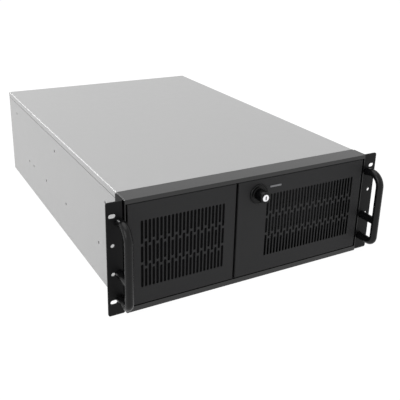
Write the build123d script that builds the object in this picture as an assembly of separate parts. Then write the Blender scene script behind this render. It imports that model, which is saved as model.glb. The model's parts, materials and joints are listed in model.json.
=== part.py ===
"""Four-unit rackmount server case, 19 inch, with two vented front doors.

The frame has X to the right seen from the front, Y to the back and Z up. The case stands on its
floor at z = 0. Shapes are drawn with Y = 0 at the front face of the rack ears, and are moved at the
end so that the origin is under the middle of the whole case. All sizes are millimetres.
"""
import math
import os

from build123d import *

# Overall sizes
BODY_WIDTH = 430.0
BODY_HEIGHT = 177.0
BODY_DEPTH = 650.0
SHEET = 1.2
BEND = 0.8
SEAT_GAP = 0.3

# Sides of the small round shapes that are hidden, of screw heads, and of bars, ducts and rings
HIDDEN_SIDES = 6
HEAD_SIDES = 6
KNURL_SIDES = 12
PLAIN_SIDES = 12
BAR_SIDES = 8
DUCT_SIDES = 18

# Front frame and doors
FRAME_PROUD = 2.3
FRAME_DEPTH = 31.0
FRAME_CORNER = 1.2
TOP_LIP = 6.5
BOTTOM_LIP = 8.2
REAR_LIP = 9.0
DOOR_GAP_Z = 1.1
DOOR_GAP_SIDE = 2.8
DOOR_GAP_MIDDLE = 3.9
DOOR_SPLIT_X = -34.65
DOOR_RETURN = 10.2

# Staggered vent slots
SLOT_PITCH = 6.0
SLOT_WIDTH = 3.0
SLOT_BRIDGE = 5.0
SLOT_FIELD_HEIGHT = BODY_HEIGHT - 73.0
SLOT_FIELD_Z = BODY_HEIGHT / 2 + 0.7
SLOT_MARGIN = 21.2
LONG_SLOT = 35.0
SHORT_SLOT = 28.0
LEFT_COLUMNS = 23
RIGHT_COLUMNS = 29

# Door hinge pins
PIN_RADIUS = 2.0
PIN_RUNNING = 0.05
PIN_INSET = 5.0
PIN_BACK = 3.0
PIN_SHOULDER_RADIUS = 3.5
PIN_REACH = 3.2

# Post behind the gap between the doors, and its magnets
POST_Y = 10.0
POST_HALF = 15.0
POST_FOLD = 12.0
MAGNET_WIDTH = 9.0
MAGNET_HEIGHT = 10.0

# Door lock
LOCK_X = 4.0
LOCK_Z = BODY_HEIGHT - 31.0
LOCK_PROUD = 19.0
LOCK_BARREL_RADIUS = 9.2
LOCK_SHANK_RADIUS = 7.9
LOCK_PLUG_RADIUS = 6.75
LOCK_RING_RADIUS = 16.0
LOCK_RING_THICKNESS = 2.5
LOCK_NUT_THICKNESS = 2.4
KEYHOLE_HEIGHT = 7.0
KEYHOLE_WIDTH = 2.2
KEYWAY_DEPTH = 9.0
PLUG_PROUD = 0.5
TENON_HALF = 3.0
CAM_LENGTH = 28.0
CAM_WIDTH = 12.0
CAM_THICKNESS = 2.0
CAM_NOTCH_MARGIN = 8.0

# Rack ears
EAR_REACH = 26.3
EAR_LIFT = 0.7
EAR_HEIGHT = BODY_HEIGHT - 2 * EAR_LIFT
EAR_THICKNESS = 2.0
EAR_LEG = 27.0
EAR_CORNER = 3.0
EAR_SCREW_Y = 18.0
EAR_SCREW_MARGIN = 20.0
RACK_EDGE = 8.75
RACK_UNIT = 44.45
RACK_SLOT_LENGTH = 10.6
RACK_SLOT_WIDTH = 6.8
RACK_HOLE_RADIUS = 3.0

# Handles
HANDLE_INSET = 8.3
HANDLE_RADIUS = 6.2
HANDLE_REACH = 40.2
HANDLE_TOP_LEG_Z = 145.5
HANDLE_TOP_RISE = 7.0
HANDLE_MIDDLE_LEG_Z = 66.5
HANDLE_BOTTOM_LEG_Z = 27.0
HANDLE_TOP_BEND = 20.0
HANDLE_BOTTOM_BEND = 11.0

# Cover and chassis walls
COVER_FLANGE = 9.0
COVER_EDGE_RADIUS = 2.6
WALL_TOP_GAP = 1.0
WALL_TOP_FLANGE = 14.0
COVER_FRONT_GAP = 0.4
COVER_REAR_FLANGE = 17.0
THUMB_Z = BODY_HEIGHT - 9.0
THUMB_SPACING = 150.0
THUMB_HEAD_RADIUS = 5.5
THUMB_HEAD_LENGTH = 8.0
THUMB_SHANK_RADIUS = 1.75

# Slide-rail holes in the chassis sides
RAIL_HOLE_RADIUS = 2.5
RAIL_UPPER_Z = BODY_HEIGHT - 33.0
RAIL_LOWER_Z = 64.0
RAIL_UPPER_Y = (322.0, 590.0)
RAIL_LOWER_Y = (105.0, 508.0)
SPARE_HOLES = ((72.0, RAIL_UPPER_Z), (267.0, RAIL_LOWER_Z), (388.0, RAIL_LOWER_Z), (475.0, RAIL_LOWER_Z))
SPARE_HOLE_SIDES = 8

# Drive bays
BAY_WIDTH = 149.0
BAY_HEIGHT = 42.4
BAY_COUNT = 3
BAY_X = BODY_WIDTH / 2 - 92.5
BAY_BOTTOM_Z = 22.0
BAY_CAGE_DEPTH = 160.0
BAY_COVER_FACE = 2.5
DISK_CAGE_WIDTH = 104.0
DISK_CAGE_HEIGHT = 140.0
DISK_CAGE_DEPTH = 150.0
DISK_CAGE_Y = 62.0
DISK_ROWS = 4
DISK_ROW_PITCH = 30.0

# Control panel
CONTROL_X = BAY_X - BAY_WIDTH / 2 - 40.0
CONTROL_Z = BODY_HEIGHT / 2 - 2.5
CONTROL_WIDTH = 52.0
CONTROL_HEIGHT = 126.0
CONTROL_THICKNESS = 4.0
BOARD_Y = 36.0
BOARD_THICKNESS = 1.6
POWER_Z = CONTROL_Z + 38.0
POWER_RADIUS = 6.5
RESET_Z = CONTROL_Z + 18.0
RESET_RADIUS = 3.0
BUTTON_TRAVEL = 2.0
BUTTON_RUNNING = 0.3
BUTTON_PROUD = 2.6
LAMP_RADIUS = 1.5
LAMP_SIDES = 8
LAMP_Z = CONTROL_Z + 2.0
BUTTON_SIDES = 16
USB_WIDTH = 13.2
USB_HEIGHT = 5.8
USB_Z = (CONTROL_Z - 20.0, CONTROL_Z - 40.0)

# Fans
FRONT_FAN = 120.0
REAR_FAN = 80.0
FAN_DEPTH = 25.0
FAN_BLADES = 7
FAN_SHAFT_RADIUS = 2.0
FAN_FRAME_CLEARANCE = 1.7
FAN_HOLE_SPACING = {FRONT_FAN: 105.0, REAR_FAN: 71.5}
HUB_SHARE = 0.165
BLADE_PITCH = 38.0
BLADE_THICKNESS = 1.4
GUARD_WIRE = 1.6
GUARD_EYE_RADIUS = 4.8
GUARD_RING_SHARE = 0.3

# Rear panel
BOARD_OPENING_WIDTH = 158.75
BOARD_OPENING_HEIGHT = 44.45
BOARD_OPENING_X = 31.4
BOARD_OPENING_Z = 8.0
SUPPLY_WIDTH = 83.0
SUPPLY_HEIGHT = 146.0
SUPPLY_X = 165.0
SUPPLY_Z = 14.0
SUPPLY_SCREW_RADIUS = 1.8
SUPPLY_DATUM_HOLES = (1, 2)
SLOT_COUNT = 7
CARD_PITCH = 20.32
CARD_FIRST_X = -64.0
CARD_OPENING_WIDTH = 14.5
CARD_OPENING_HEIGHT = 106.0
CARD_OPENING_Z = 24.0
CARD_COVER_WIDTH = 18.4
CARD_COVER_THICKNESS = 0.9
CARD_COVER_MARGIN = 12.0
REAR_FAN_Z = BODY_HEIGHT - 62.0
REAR_FAN_SPACING = 82.0

# Inside
STANDOFF_RADIUS = 2.9
STANDOFF_HEIGHT = 6.35
STANDOFF_X = (104.8, -17.1, -130.2)
STANDOFF_Y = [BODY_DEPTH - distance for distance in (301.8, 174.8, 19.9)]
BRACE_Y = BODY_DEPTH - 320.0
BRACE_WIDTH = 40.0
BRACE_HEIGHT = 12.0
SUPPLY_STOP_Y = BODY_DEPTH - 150.0
FILTER_SIDE_MARGIN = 8.2
FILTER_HEIGHT = BODY_HEIGHT - 49.0
FILTER_DEPTH = 5.0
FILTER_NUT_RADIUS = 3.0

# Places that follow from the sizes above
HALF_WIDTH = BODY_WIDTH / 2
INNER_HALF = HALF_WIDTH - SHEET
EAR_SPAN = BODY_WIDTH + 2 * EAR_REACH
RACK_SPACING = EAR_SPAN - 2 * RACK_EDGE
HANDLE_X = HALF_WIDTH + HANDLE_INSET
LEDGE_X = HALF_WIDTH - WALL_TOP_FLANGE
TOP_INSIDE = BODY_HEIGHT - SHEET
FRAME_BACK_Y = FRAME_DEPTH - FRAME_PROUD
FRAME_SEAM_Z = BODY_HEIGHT - REAR_LIP - SHEET
DOOR_FRONT_Y = -FRAME_PROUD
DOOR_BACK_Y = DOOR_FRONT_Y + SHEET
PLUG_END_Y = DOOR_BACK_Y + LOCK_NUT_THICKNESS + SEAT_GAP + 0.2
DOOR_TOP_Z = BODY_HEIGHT - TOP_LIP - DOOR_GAP_Z
DOOR_BOTTOM_Z = BOTTOM_LIP + DOOR_GAP_Z
DOOR_OUTER_X = INNER_HALF - DOOR_GAP_SIDE
LEFT_DOOR = (-DOOR_OUTER_X, DOOR_SPLIT_X - DOOR_GAP_MIDDLE / 2)
RIGHT_DOOR = (DOOR_SPLIT_X + DOOR_GAP_MIDDLE / 2, DOOR_OUTER_X)
LEFT_DOOR_MIDDLE = sum(LEFT_DOOR) / 2
FILTER_WIDTH = LEFT_DOOR[1] - LEFT_DOOR[0] - 2 * FILTER_SIDE_MARGIN
PIN_X = DOOR_OUTER_X - PIN_INSET
PANEL_Y = FRAME_BACK_Y
PANEL_BACK_Y = PANEL_Y + SHEET
COVER_FLANGE_Z = BODY_HEIGHT - COVER_FLANGE
WALL_TOP_Z = COVER_FLANGE_Z - WALL_TOP_GAP
REAR_INSIDE_Y = BODY_DEPTH - SHEET
COVER_REAR_Y = BODY_DEPTH + SHEET
REAR_REACH = COVER_REAR_Y + THUMB_HEAD_LENGTH
ORIGIN_SHIFT_Y = (HANDLE_REACH - REAR_REACH) / 2
RACK_HOLE_Z = [RACK_UNIT * (unit + 0.5) for unit in range(4)]
BAYS_TOP_Z = BAY_BOTTOM_Z + BAY_HEIGHT * BAY_COUNT
CONTROL_FRONT_Y = PANEL_Y - CONTROL_THICKNESS
BOARD_OPENING_MIDDLE_Z = BOARD_OPENING_Z + BOARD_OPENING_HEIGHT / 2
CARD_X = [CARD_FIRST_X - CARD_PITCH * place for place in range(SLOT_COUNT)]
REAR_FAN_X = [BOARD_OPENING_X - REAR_FAN_SPACING / 2, BOARD_OPENING_X + REAR_FAN_SPACING / 2]


def block(x0, x1, y0, y1, z0, z1):
    """A rectangular solid between two corners."""
    middle = ((x0 + x1) / 2, (y0 + y1) / 2, (z0 + z1) / 2)
    return Pos(*middle) * Box(abs(x1 - x0), abs(y1 - y0), abs(z1 - z0))


def along_x(profile, x0, x1):
    """Extrude a profile drawn in Y and Z from x0 to x1."""
    plane = Plane(origin=(x0, 0, 0), x_dir=(0, 1, 0), z_dir=(1, 0, 0))
    return extrude(plane * profile, amount=x1 - x0)


def along_y(profile, y0, y1):
    """Extrude a profile drawn in X and Z from y0 to y1."""
    plane = Plane(origin=(0, y0, 0), x_dir=(1, 0, 0), z_dir=(0, -1, 0))
    return extrude(plane * profile, amount=y0 - y1)


def along_z(profile, z0, z1):
    """Extrude a profile drawn in X and Y from z0 to z1."""
    return extrude(Plane.XY.offset(z0) * profile, amount=z1 - z0)


def disc(radius, sides=None, around=False):
    """A circle, or a polygon that lies inside it, or around it where it is a clear hole."""
    if not sides:
        return Circle(radius)
    return RegularPolygon(radius, sides, major_radius=not around)


def rod_x(radius, x0, x1, y, z, sides=None, around=False):
    """A rod along X, round unless it has sides."""
    return along_x(Pos(y, z) * disc(radius, sides, around), x0, x1)


def rod_y(radius, y0, y1, x, z, sides=None, around=False):
    """A rod along Y, round unless it has sides."""
    return along_y(Pos(x, z) * disc(radius, sides, around), y0, y1)


def rod_z(radius, z0, z1, x, y, sides=None, around=False):
    """A rod along Z, round unless it has sides."""
    return along_z(Pos(x, y) * disc(radius, sides, around), z0, z1)


def bent_line(points, radii, smooth):
    """A line with rounded corners, or with one flat across each corner."""
    if smooth:
        return FilletPolyline(*points, radius=radii)
    flat = [points[0]]
    for before, point, after, radius in zip(points, points[1:], points[2:], radii):
        flat.append(point + (before - point).normalized() * radius)
        flat.append(point + (after - point).normalized() * radius)
    return Polyline(*flat, points[-1])


def folded_profile(skin, side, thickness=SHEET, bend=BEND, smooth=False):
    """The section of a folded sheet.

    skin is the outline of one face, and side is 1 where the metal lies to the left of it and -1
    where it lies to the right. Bends have an inside radius of bend, and are rounded if smooth.
    """
    points = [Vector(*point) for point in skin]
    headings = [(after - before).normalized() for before, after in zip(points, points[1:])]
    normals = [Vector(-heading.Y, heading.X) * side for heading in headings]
    back = [points[0] + normals[0] * thickness]
    skin_radii = []
    back_radii = []
    for place in range(1, len(points) - 1):
        before, after = headings[place - 1], headings[place]
        lean = normals[place - 1] + normals[place]
        back.append(points[place] + lean * (thickness / (1 + before.dot(after))))
        turns_to_metal = (before.X * after.Y - before.Y * after.X) * side > 0
        skin_radii.append(bend + thickness if turns_to_metal else bend)
        back_radii.append(bend if turns_to_metal else bend + thickness)
    back.append(points[-1] + normals[-1] * thickness)
    front_line = bent_line(points, skin_radii, smooth)
    back_line = bent_line(back, back_radii, smooth)
    ends = Line(points[-1], back[-1]) + Line(points[0], back[0])
    return make_face(front_line + back_line + ends)


def join(shapes):
    """One solid, or one set of solids, made of several shapes."""
    shapes = list(shapes)
    whole = shapes[0]
    for shape in shapes[1:]:
        whole = whole + shape
    return whole


def group(shapes):
    """Separate solids that share one node."""
    solids = [solid for shape in shapes for solid in shape.solids()]
    return Compound(children=solids)


def mirrored(shape):
    """The same shape on the other side of the case."""
    return mirror(shape, about=Plane.YZ)


def slot_field(first_x, columns):
    """Cutters for a field of slots: tall, short, tall beside short, tall, short."""
    tall_middle = SLOT_FIELD_HEIGHT - 2 * (SHORT_SLOT + SLOT_BRIDGE)
    short_middle = SLOT_FIELD_HEIGHT - 2 * (LONG_SLOT + SLOT_BRIDGE)
    cutters = []
    for column in range(columns):
        outer, middle = (LONG_SLOT, short_middle) if column % 2 == 0 else (SHORT_SLOT, tall_middle)
        x = first_x + column * SLOT_PITCH
        step = (middle + outer) / 2 + SLOT_BRIDGE
        for length, rise in ((outer, -step), (middle, 0.0), (outer, step)):
            outline = Pos(x, SLOT_FIELD_Z + rise) * Rectangle(SLOT_WIDTH, length)
            cutters.append(along_y(outline, DOOR_FRONT_Y - 1, DOOR_BACK_Y + 1))
    return cutters


def make_door(span, hinge_x, columns, field_start):
    """A door sheet folded back on all four edges, with its slot field and two pin holes."""
    width = span[1] - span[0]
    height = DOOR_TOP_Z - DOOR_BOTTOM_Z
    middle = Pos((span[0] + span[1]) / 2, (DOOR_TOP_Z + DOOR_BOTTOM_Z) / 2)
    outer = middle * Rectangle(width, height)
    inner = middle * Rectangle(width - 2 * SHEET, height - 2 * SHEET)
    door = along_y(outer, DOOR_FRONT_Y, DOOR_FRONT_Y + DOOR_RETURN)
    door = chamfer(door.edges().group_by(Axis.Y)[0], BEND)
    door = door - along_y(inner, DOOR_BACK_Y, DOOR_FRONT_Y + DOOR_RETURN)
    hole_radius = PIN_RADIUS + PIN_RUNNING
    pin_hole = rod_z(hole_radius, DOOR_BOTTOM_Z - 1, DOOR_TOP_Z + 1, hinge_x, PIN_BACK, PLAIN_SIDES, True)
    return door - [pin_hole] - slot_field(field_start, columns)


def make_left_door():
    """The narrow door, hinged at the left edge of the frame."""
    field_width = (LEFT_COLUMNS - 1) * SLOT_PITCH
    return make_door(LEFT_DOOR, -PIN_X, LEFT_COLUMNS, LEFT_DOOR_MIDDLE - field_width / 2)


def make_right_door():
    """The wide door, hinged at the right edge, with the lock hole and a notch for the cam."""
    last_column = RIGHT_DOOR[1] - SLOT_MARGIN
    first_column = last_column - (RIGHT_COLUMNS - 1) * SLOT_PITCH
    door = make_door(RIGHT_DOOR, PIN_X, RIGHT_COLUMNS, first_column)
    lock_hole = rod_y(LOCK_SHANK_RADIUS, DOOR_FRONT_Y - 1, DOOR_BACK_Y + 1, LOCK_X, LOCK_Z)
    notch_left = LOCK_X - CAM_WIDTH / 2 - CAM_NOTCH_MARGIN
    notch_right = LOCK_X + CAM_LENGTH + CAM_NOTCH_MARGIN
    notch_back = DOOR_FRONT_Y + DOOR_RETURN + 1
    notch_front = DOOR_BACK_Y + BEND
    notch = block(notch_left, notch_right, notch_front, notch_back, DOOR_TOP_Z - 2 * SHEET, DOOR_TOP_Z + 1)
    return door - lock_hole - notch


def frame_ring():
    """The black box frame round the doors, with lips at the front and a return at the back."""
    middle = Pos(0, BODY_HEIGHT / 2)
    outer = middle * chamfer(Rectangle(BODY_WIDTH, BODY_HEIGHT).vertices(), FRAME_CORNER)
    inner = middle * Rectangle(2 * INNER_HALF, BODY_HEIGHT - 2 * SHEET)
    walls = along_y(outer - inner, -FRAME_PROUD, FRAME_BACK_Y)
    window_height = BODY_HEIGHT - TOP_LIP - BOTTOM_LIP
    window = Pos(0, BOTTOM_LIP + window_height / 2) * Rectangle(2 * INNER_HALF, window_height)
    front = along_y(outer - window, -FRAME_PROUD, -FRAME_PROUD + SHEET)
    back_window = middle * Rectangle(2 * (INNER_HALF - REAR_LIP), BODY_HEIGHT - 2 * (REAR_LIP + SHEET))
    back = along_y(outer - back_window, FRAME_BACK_Y - SHEET, FRAME_BACK_Y)
    return walls + front + back


def make_front_frame():
    """The lower rail and the two uprights of the frame, folded from one sheet."""
    return frame_ring() - block(-BODY_WIDTH, BODY_WIDTH, -FRAME_DEPTH, 2 * FRAME_DEPTH,
                                FRAME_SEAM_Z, 2 * BODY_HEIGHT)


def make_front_frame_top():
    """The top rail of the frame, a channel that is welded on the uprights."""
    return frame_ring() - block(-BODY_WIDTH, BODY_WIDTH, -FRAME_DEPTH, 2 * FRAME_DEPTH,
                                -BODY_HEIGHT, FRAME_SEAM_Z)


def ear_screw_places():
    """Where four screws hold the right ear's leg to the frame side."""
    step = (BODY_HEIGHT - 2 * EAR_SCREW_MARGIN) / 3
    return [(HALF_WIDTH + EAR_THICKNESS, EAR_SCREW_Y, EAR_SCREW_MARGIN + step * place) for place in range(4)]


def handle_leg_heights():
    """The heights at which a handle's three legs meet the ear."""
    return (HANDLE_BOTTOM_LEG_Z, HANDLE_MIDDLE_LEG_Z, HANDLE_TOP_LEG_Z)


def make_right_ear():
    """The right rack ear: an angle with its outer corners rounded, its slots and its holes."""
    tip_x = EAR_SPAN / 2
    skin = [(tip_x, 0), (HALF_WIDTH, 0), (HALF_WIDTH, EAR_LEG)]
    section = folded_profile(skin, -1, EAR_THICKNESS)
    ear = along_z(section, EAR_LIFT, EAR_LIFT + EAR_HEIGHT)
    corners = ear.edges().filter_by(Axis.Y).group_by(Axis.X)[-1]
    ear = fillet(corners, EAR_CORNER)
    for unit, z in enumerate(RACK_HOLE_Z):
        if unit in (0, len(RACK_HOLE_Z) - 1):
            hole = SlotOverall(RACK_SLOT_LENGTH, RACK_SLOT_WIDTH)
        else:
            hole = Circle(RACK_HOLE_RADIUS)
        ear = ear - along_y(Pos(RACK_SPACING / 2, z) * hole, -1, EAR_THICKNESS + 1)
    return ear


def make_right_handle():
    """A round bar swept over its top and bottom bends, with a third leg between them."""
    bar_y = HANDLE_RADIUS - HANDLE_REACH
    route = FilletPolyline(
        (HANDLE_X, 0, HANDLE_TOP_LEG_Z),
        (HANDLE_X, bar_y, HANDLE_TOP_LEG_Z + HANDLE_TOP_RISE),
        (HANDLE_X, bar_y, HANDLE_BOTTOM_LEG_Z),
        (HANDLE_X, 0, HANDLE_BOTTOM_LEG_Z),
        radius=[HANDLE_TOP_BEND, HANDLE_BOTTOM_BEND],
    )
    start = Plane(origin=route @ 0, x_dir=(1, 0, 0), z_dir=route % 0)
    bar = sweep(start * disc(HANDLE_RADIUS, BAR_SIDES), path=route)
    behind = block(HANDLE_X - 10, HANDLE_X + 10, 0, 10, 0, BODY_HEIGHT)
    middle_leg = rod_y(HANDLE_RADIUS, bar_y, 0, HANDLE_X, HANDLE_MIDDLE_LEG_Z, BAR_SIDES)
    return bar + middle_leg - behind


def screw_head(radius, height, x, y, z):
    """A screw head that stands off its seat along Y; a negative height faces the front."""
    return rod_y(radius, *sorted((y, y + height)), x, z, HEAD_SIDES)


def make_handle_screws():
    """Three screws behind each ear that hold its handle."""
    return group([screw_head(3.5, 2.2, side * HANDLE_X, EAR_THICKNESS, z)
                  for side in (-1, 1) for z in handle_leg_heights()])


def make_ear_screws():
    """Screws that hold the ears to the sides of the frame."""
    heads = [rod_x(3.4, x, x + 1.6, y, z, HEAD_SIDES) for x, y, z in ear_screw_places()]
    return group(heads + [mirrored(head) for head in heads])


def make_hinge_pins():
    """Four shoulder pins: a shoulder that stands on the frame, and a shaft through the door."""
    pins = []
    for x in (-PIN_X, PIN_X):
        top_seat = DOOR_TOP_Z + SEAT_GAP
        pins.append(rod_z(PIN_SHOULDER_RADIUS, top_seat, TOP_INSIDE, x, PIN_BACK, HEAD_SIDES)
                    + rod_z(PIN_RADIUS, DOOR_TOP_Z - PIN_REACH, top_seat, x, PIN_BACK))
        low_seat = DOOR_BOTTOM_Z - SEAT_GAP
        pins.append(rod_z(PIN_SHOULDER_RADIUS, SHEET, low_seat, x, PIN_BACK, HEAD_SIDES)
                    + rod_z(PIN_RADIUS, low_seat, DOOR_BOTTOM_Z + PIN_REACH, x, PIN_BACK))
    return group(pins)


def make_centre_post():
    """A folded channel behind the gap between the doors."""
    left, right = DOOR_SPLIT_X - POST_HALF, DOOR_SPLIT_X + POST_HALF
    skin = [(left, POST_Y + POST_FOLD), (left, POST_Y), (right, POST_Y), (right, POST_Y + POST_FOLD)]
    return along_z(folded_profile(skin, 1), SHEET, TOP_INSIDE)


def make_door_magnets():
    """Two magnets on the post that hold the left door shut."""
    right = LEFT_DOOR[1] - SHEET - 1.5
    magnets = []
    for z in (DOOR_BOTTOM_Z + 8.0, DOOR_TOP_Z - 8.0):
        magnets.append(block(right - MAGNET_WIDTH, right, DOOR_BACK_Y + SEAT_GAP, POST_Y,
                             z - MAGNET_HEIGHT / 2, z + MAGNET_HEIGHT / 2))
    return group(magnets)


def make_lock_barrel():
    """The fixed barrel of the lock: a proud sleeve and a threaded shank through the door."""
    front = DOOR_FRONT_Y - LOCK_PROUD
    sleeve = rod_y(LOCK_BARREL_RADIUS, front, DOOR_FRONT_Y - LOCK_RING_THICKNESS, LOCK_X, LOCK_Z)
    rim = sleeve.edges().filter_by(GeomType.CIRCLE).group_by(Axis.Y)[0]
    sleeve = chamfer(rim, 1.2)
    shank_end = DOOR_BACK_Y + LOCK_NUT_THICKNESS + SEAT_GAP
    shank = rod_y(LOCK_SHANK_RADIUS, DOOR_FRONT_Y - LOCK_RING_THICKNESS, shank_end, LOCK_X, LOCK_Z)
    bore = rod_y(LOCK_PLUG_RADIUS + PIN_RUNNING, front - 1, shank_end + 1, LOCK_X, LOCK_Z)
    return sleeve + shank - bore


def make_lock_ring():
    """The dished ring between the barrel and the door."""
    back = DOOR_FRONT_Y
    front = back - LOCK_RING_THICKNESS
    ring = rod_y(LOCK_RING_RADIUS, front, back, LOCK_X, LOCK_Z, DUCT_SIDES)
    ring = chamfer(ring.edges().group_by(Axis.Y)[0], 1.6)
    return ring - rod_y(LOCK_SHANK_RADIUS, front - 1, back + 1, LOCK_X, LOCK_Z)


def make_lock_nut():
    """The hexagon nut on the shank, behind the door."""
    hexagon = RegularPolygon(LOCK_SHANK_RADIUS + 3.2, 6, major_radius=False)
    outline = Pos(LOCK_X, LOCK_Z) * hexagon - Pos(LOCK_X, LOCK_Z) * Circle(LOCK_SHANK_RADIUS)
    return along_y(outline, DOOR_BACK_Y, DOOR_BACK_Y + LOCK_NUT_THICKNESS)


def make_lock_plug():
    """The keyed plug that turns in the barrel, with a square tenon for the cam."""
    front = DOOR_FRONT_Y - LOCK_PROUD - PLUG_PROUD
    plug = rod_y(LOCK_PLUG_RADIUS, front, PLUG_END_Y, LOCK_X, LOCK_Z)
    keyway = Pos(LOCK_X, LOCK_Z) * Rectangle(KEYHOLE_WIDTH, KEYHOLE_HEIGHT)
    plug = plug - along_y(keyway, front - 1, front + KEYWAY_DEPTH)
    tenon = block(LOCK_X - TENON_HALF, LOCK_X + TENON_HALF, PLUG_END_Y, PLUG_END_Y + CAM_THICKNESS,
                  LOCK_Z - TENON_HALF, LOCK_Z + TENON_HALF)
    return plug + tenon


def make_lock_cam():
    """The latch arm, seen with the lock open: it points to the hinge and turns up to lock."""
    width = CAM_LENGTH + CAM_WIDTH / 2
    arm = chamfer((Pos(CAM_LENGTH - width / 2, 0) * Rectangle(width, CAM_WIDTH)).vertices(), CAM_WIDTH / 4)
    outline = Pos(LOCK_X, LOCK_Z) * (arm - Rectangle(2 * TENON_HALF, 2 * TENON_HALF))
    return along_y(outline, PLUG_END_Y, PLUG_END_Y + CAM_THICKNESS)


def make_cam_screw():
    """The screw that holds the cam on the plug."""
    return screw_head(4.0, 2.0, LOCK_X, PLUG_END_Y + CAM_THICKNESS, LOCK_Z)


def filter_box(margin):
    """The X and Z limits of the filter frame, less a margin."""
    half_width, half_height = FILTER_WIDTH / 2 - margin, FILTER_HEIGHT / 2 - margin
    return (LEFT_DOOR_MIDDLE - half_width, LEFT_DOOR_MIDDLE + half_width,
            SLOT_FIELD_Z - half_height, SLOT_FIELD_Z + half_height)


def make_filter_frame():
    """A shallow folded tray with a window, which holds the foam against the left door."""
    x0, x1, z0, z1 = filter_box(0)
    middle = Pos((x0 + x1) / 2, (z0 + z1) / 2)
    back = DOOR_BACK_Y + FILTER_DEPTH
    outer = middle * Rectangle(FILTER_WIDTH, FILTER_HEIGHT)
    inner = middle * Rectangle(FILTER_WIDTH - 2 * SHEET, FILTER_HEIGHT - 2 * SHEET)
    bar = Rectangle(4.0, FILTER_HEIGHT - 16.0) + Rectangle(FILTER_WIDTH - 16.0, 4.0)
    window = middle * (Rectangle(FILTER_WIDTH - 20.0, FILTER_HEIGHT - 20.0) - bar)
    rim = along_y(outer - inner, DOOR_BACK_Y, back)
    return rim + along_y(outer - window, back, back + SHEET)


def filter_stud_places():
    """Where the four studs stand, in the corners of the filter frame."""
    x0, x1, z0, z1 = filter_box(5.0)
    return [(x, z) for x in (x0, x1) for z in (z0, z1)]


def make_filter_foam():
    """The foam pad between the door and its filter frame."""
    x0, x1, z0, z1 = filter_box(SHEET + 0.2)
    return block(x0, x1, DOOR_BACK_Y, DOOR_BACK_Y + FILTER_DEPTH, z0, z1)


def make_filter_fixings():
    """The four nuts that hold the filter frame on the studs of the door."""
    nut_y = DOOR_BACK_Y + FILTER_DEPTH + SHEET
    return group([screw_head(FILTER_NUT_RADIUS, 2.0, x, nut_y, z) for x, z in filter_stud_places()])


def rail_hole_places():
    """Where the slide-rail holes are on a side wall, as (y, z, sides)."""
    holes = [(y, RAIL_UPPER_Z, None) for y in RAIL_UPPER_Y] + [(y, RAIL_LOWER_Z, None) for y in RAIL_LOWER_Y]
    return holes + [(y, z, SPARE_HOLE_SIDES) for y, z in SPARE_HOLES]


def make_base_tray():
    """Floor and side walls, each stepped in behind the cover's flange and folded over under it."""
    skin = [(-HALF_WIDTH, WALL_TOP_Z), (-HALF_WIDTH, 0), (HALF_WIDTH, 0), (HALF_WIDTH, WALL_TOP_Z)]
    section = folded_profile(skin, 1)
    for side in (-1, 1):
        step = [(side * INNER_HALF, WALL_TOP_Z - SHEET), (side * INNER_HALF, TOP_INSIDE),
                (side * LEDGE_X, TOP_INSIDE)]
        section = section + folded_profile(step, side, bend=COVER_EDGE_RADIUS - SHEET)
    tray = along_y(section, PANEL_Y, BODY_DEPTH)
    holes = []
    for y, z, sides in rail_hole_places():
        hole = rod_x(RAIL_HOLE_RADIUS, INNER_HALF - 1, HALF_WIDTH + 1, y, z, sides, True)
        holes += [hole, mirrored(hole)]
    return tray - holes


def make_cover():
    """The top cover: flat, with short side flanges and a rear flange with three open slots."""
    skin = [(-HALF_WIDTH, COVER_FLANGE_Z), (-HALF_WIDTH, BODY_HEIGHT),
            (HALF_WIDTH, BODY_HEIGHT), (HALF_WIDTH, COVER_FLANGE_Z)]
    section = folded_profile(skin, -1, SHEET, COVER_EDGE_RADIUS - SHEET, smooth=True)
    cover = along_y(section, PANEL_Y + COVER_FRONT_GAP, COVER_REAR_Y)
    flange_x = INNER_HALF - 2.0
    flange = block(-flange_x, flange_x, BODY_DEPTH, COVER_REAR_Y,
                   BODY_HEIGHT - COVER_REAR_FLANGE, BODY_HEIGHT - SHEET)
    cover = cover + flange
    slot_radius = THUMB_SHANK_RADIUS + 0.6
    for x in thumb_places():
        opening = Pos(x, THUMB_Z) * disc(slot_radius, 8, True)
        opening = opening + Pos(x, THUMB_Z - 10) * Rectangle(2 * slot_radius, 20)
        cover = cover - along_y(opening, BODY_DEPTH - 1, COVER_REAR_Y + 1)
    return cover


def thumb_places():
    """The X of each thumbscrew."""
    return (-THUMB_SPACING, 0.0, THUMB_SPACING)


def make_thumbscrews():
    """Three thumbscrews that clamp the cover's rear flange."""
    screws = []
    for x in thumb_places():
        head = rod_y(THUMB_HEAD_RADIUS, COVER_REAR_Y, REAR_REACH, x, THUMB_Z, KNURL_SIDES)
        screws.append(head + rod_y(THUMB_SHANK_RADIUS, REAR_INSIDE_Y - 4, COVER_REAR_Y, x, THUMB_Z,
                                   HIDDEN_SIDES))
    return group(screws)


def corner_reliefs():
    """Cutters that free the panels' side folds from the bends of the tray."""
    depth = SHEET + 2 * BEND
    cutters = []
    for z0, z1 in ((0.0, SHEET + BEND), (WALL_TOP_Z - SHEET - BEND, WALL_TOP_Z - SHEET)):
        cutter = block(INNER_HALF - depth, INNER_HALF + 1, 0, BODY_DEPTH + 1, z0, z1)
        cutters += [cutter, mirrored(cutter)]
    return cutters


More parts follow.
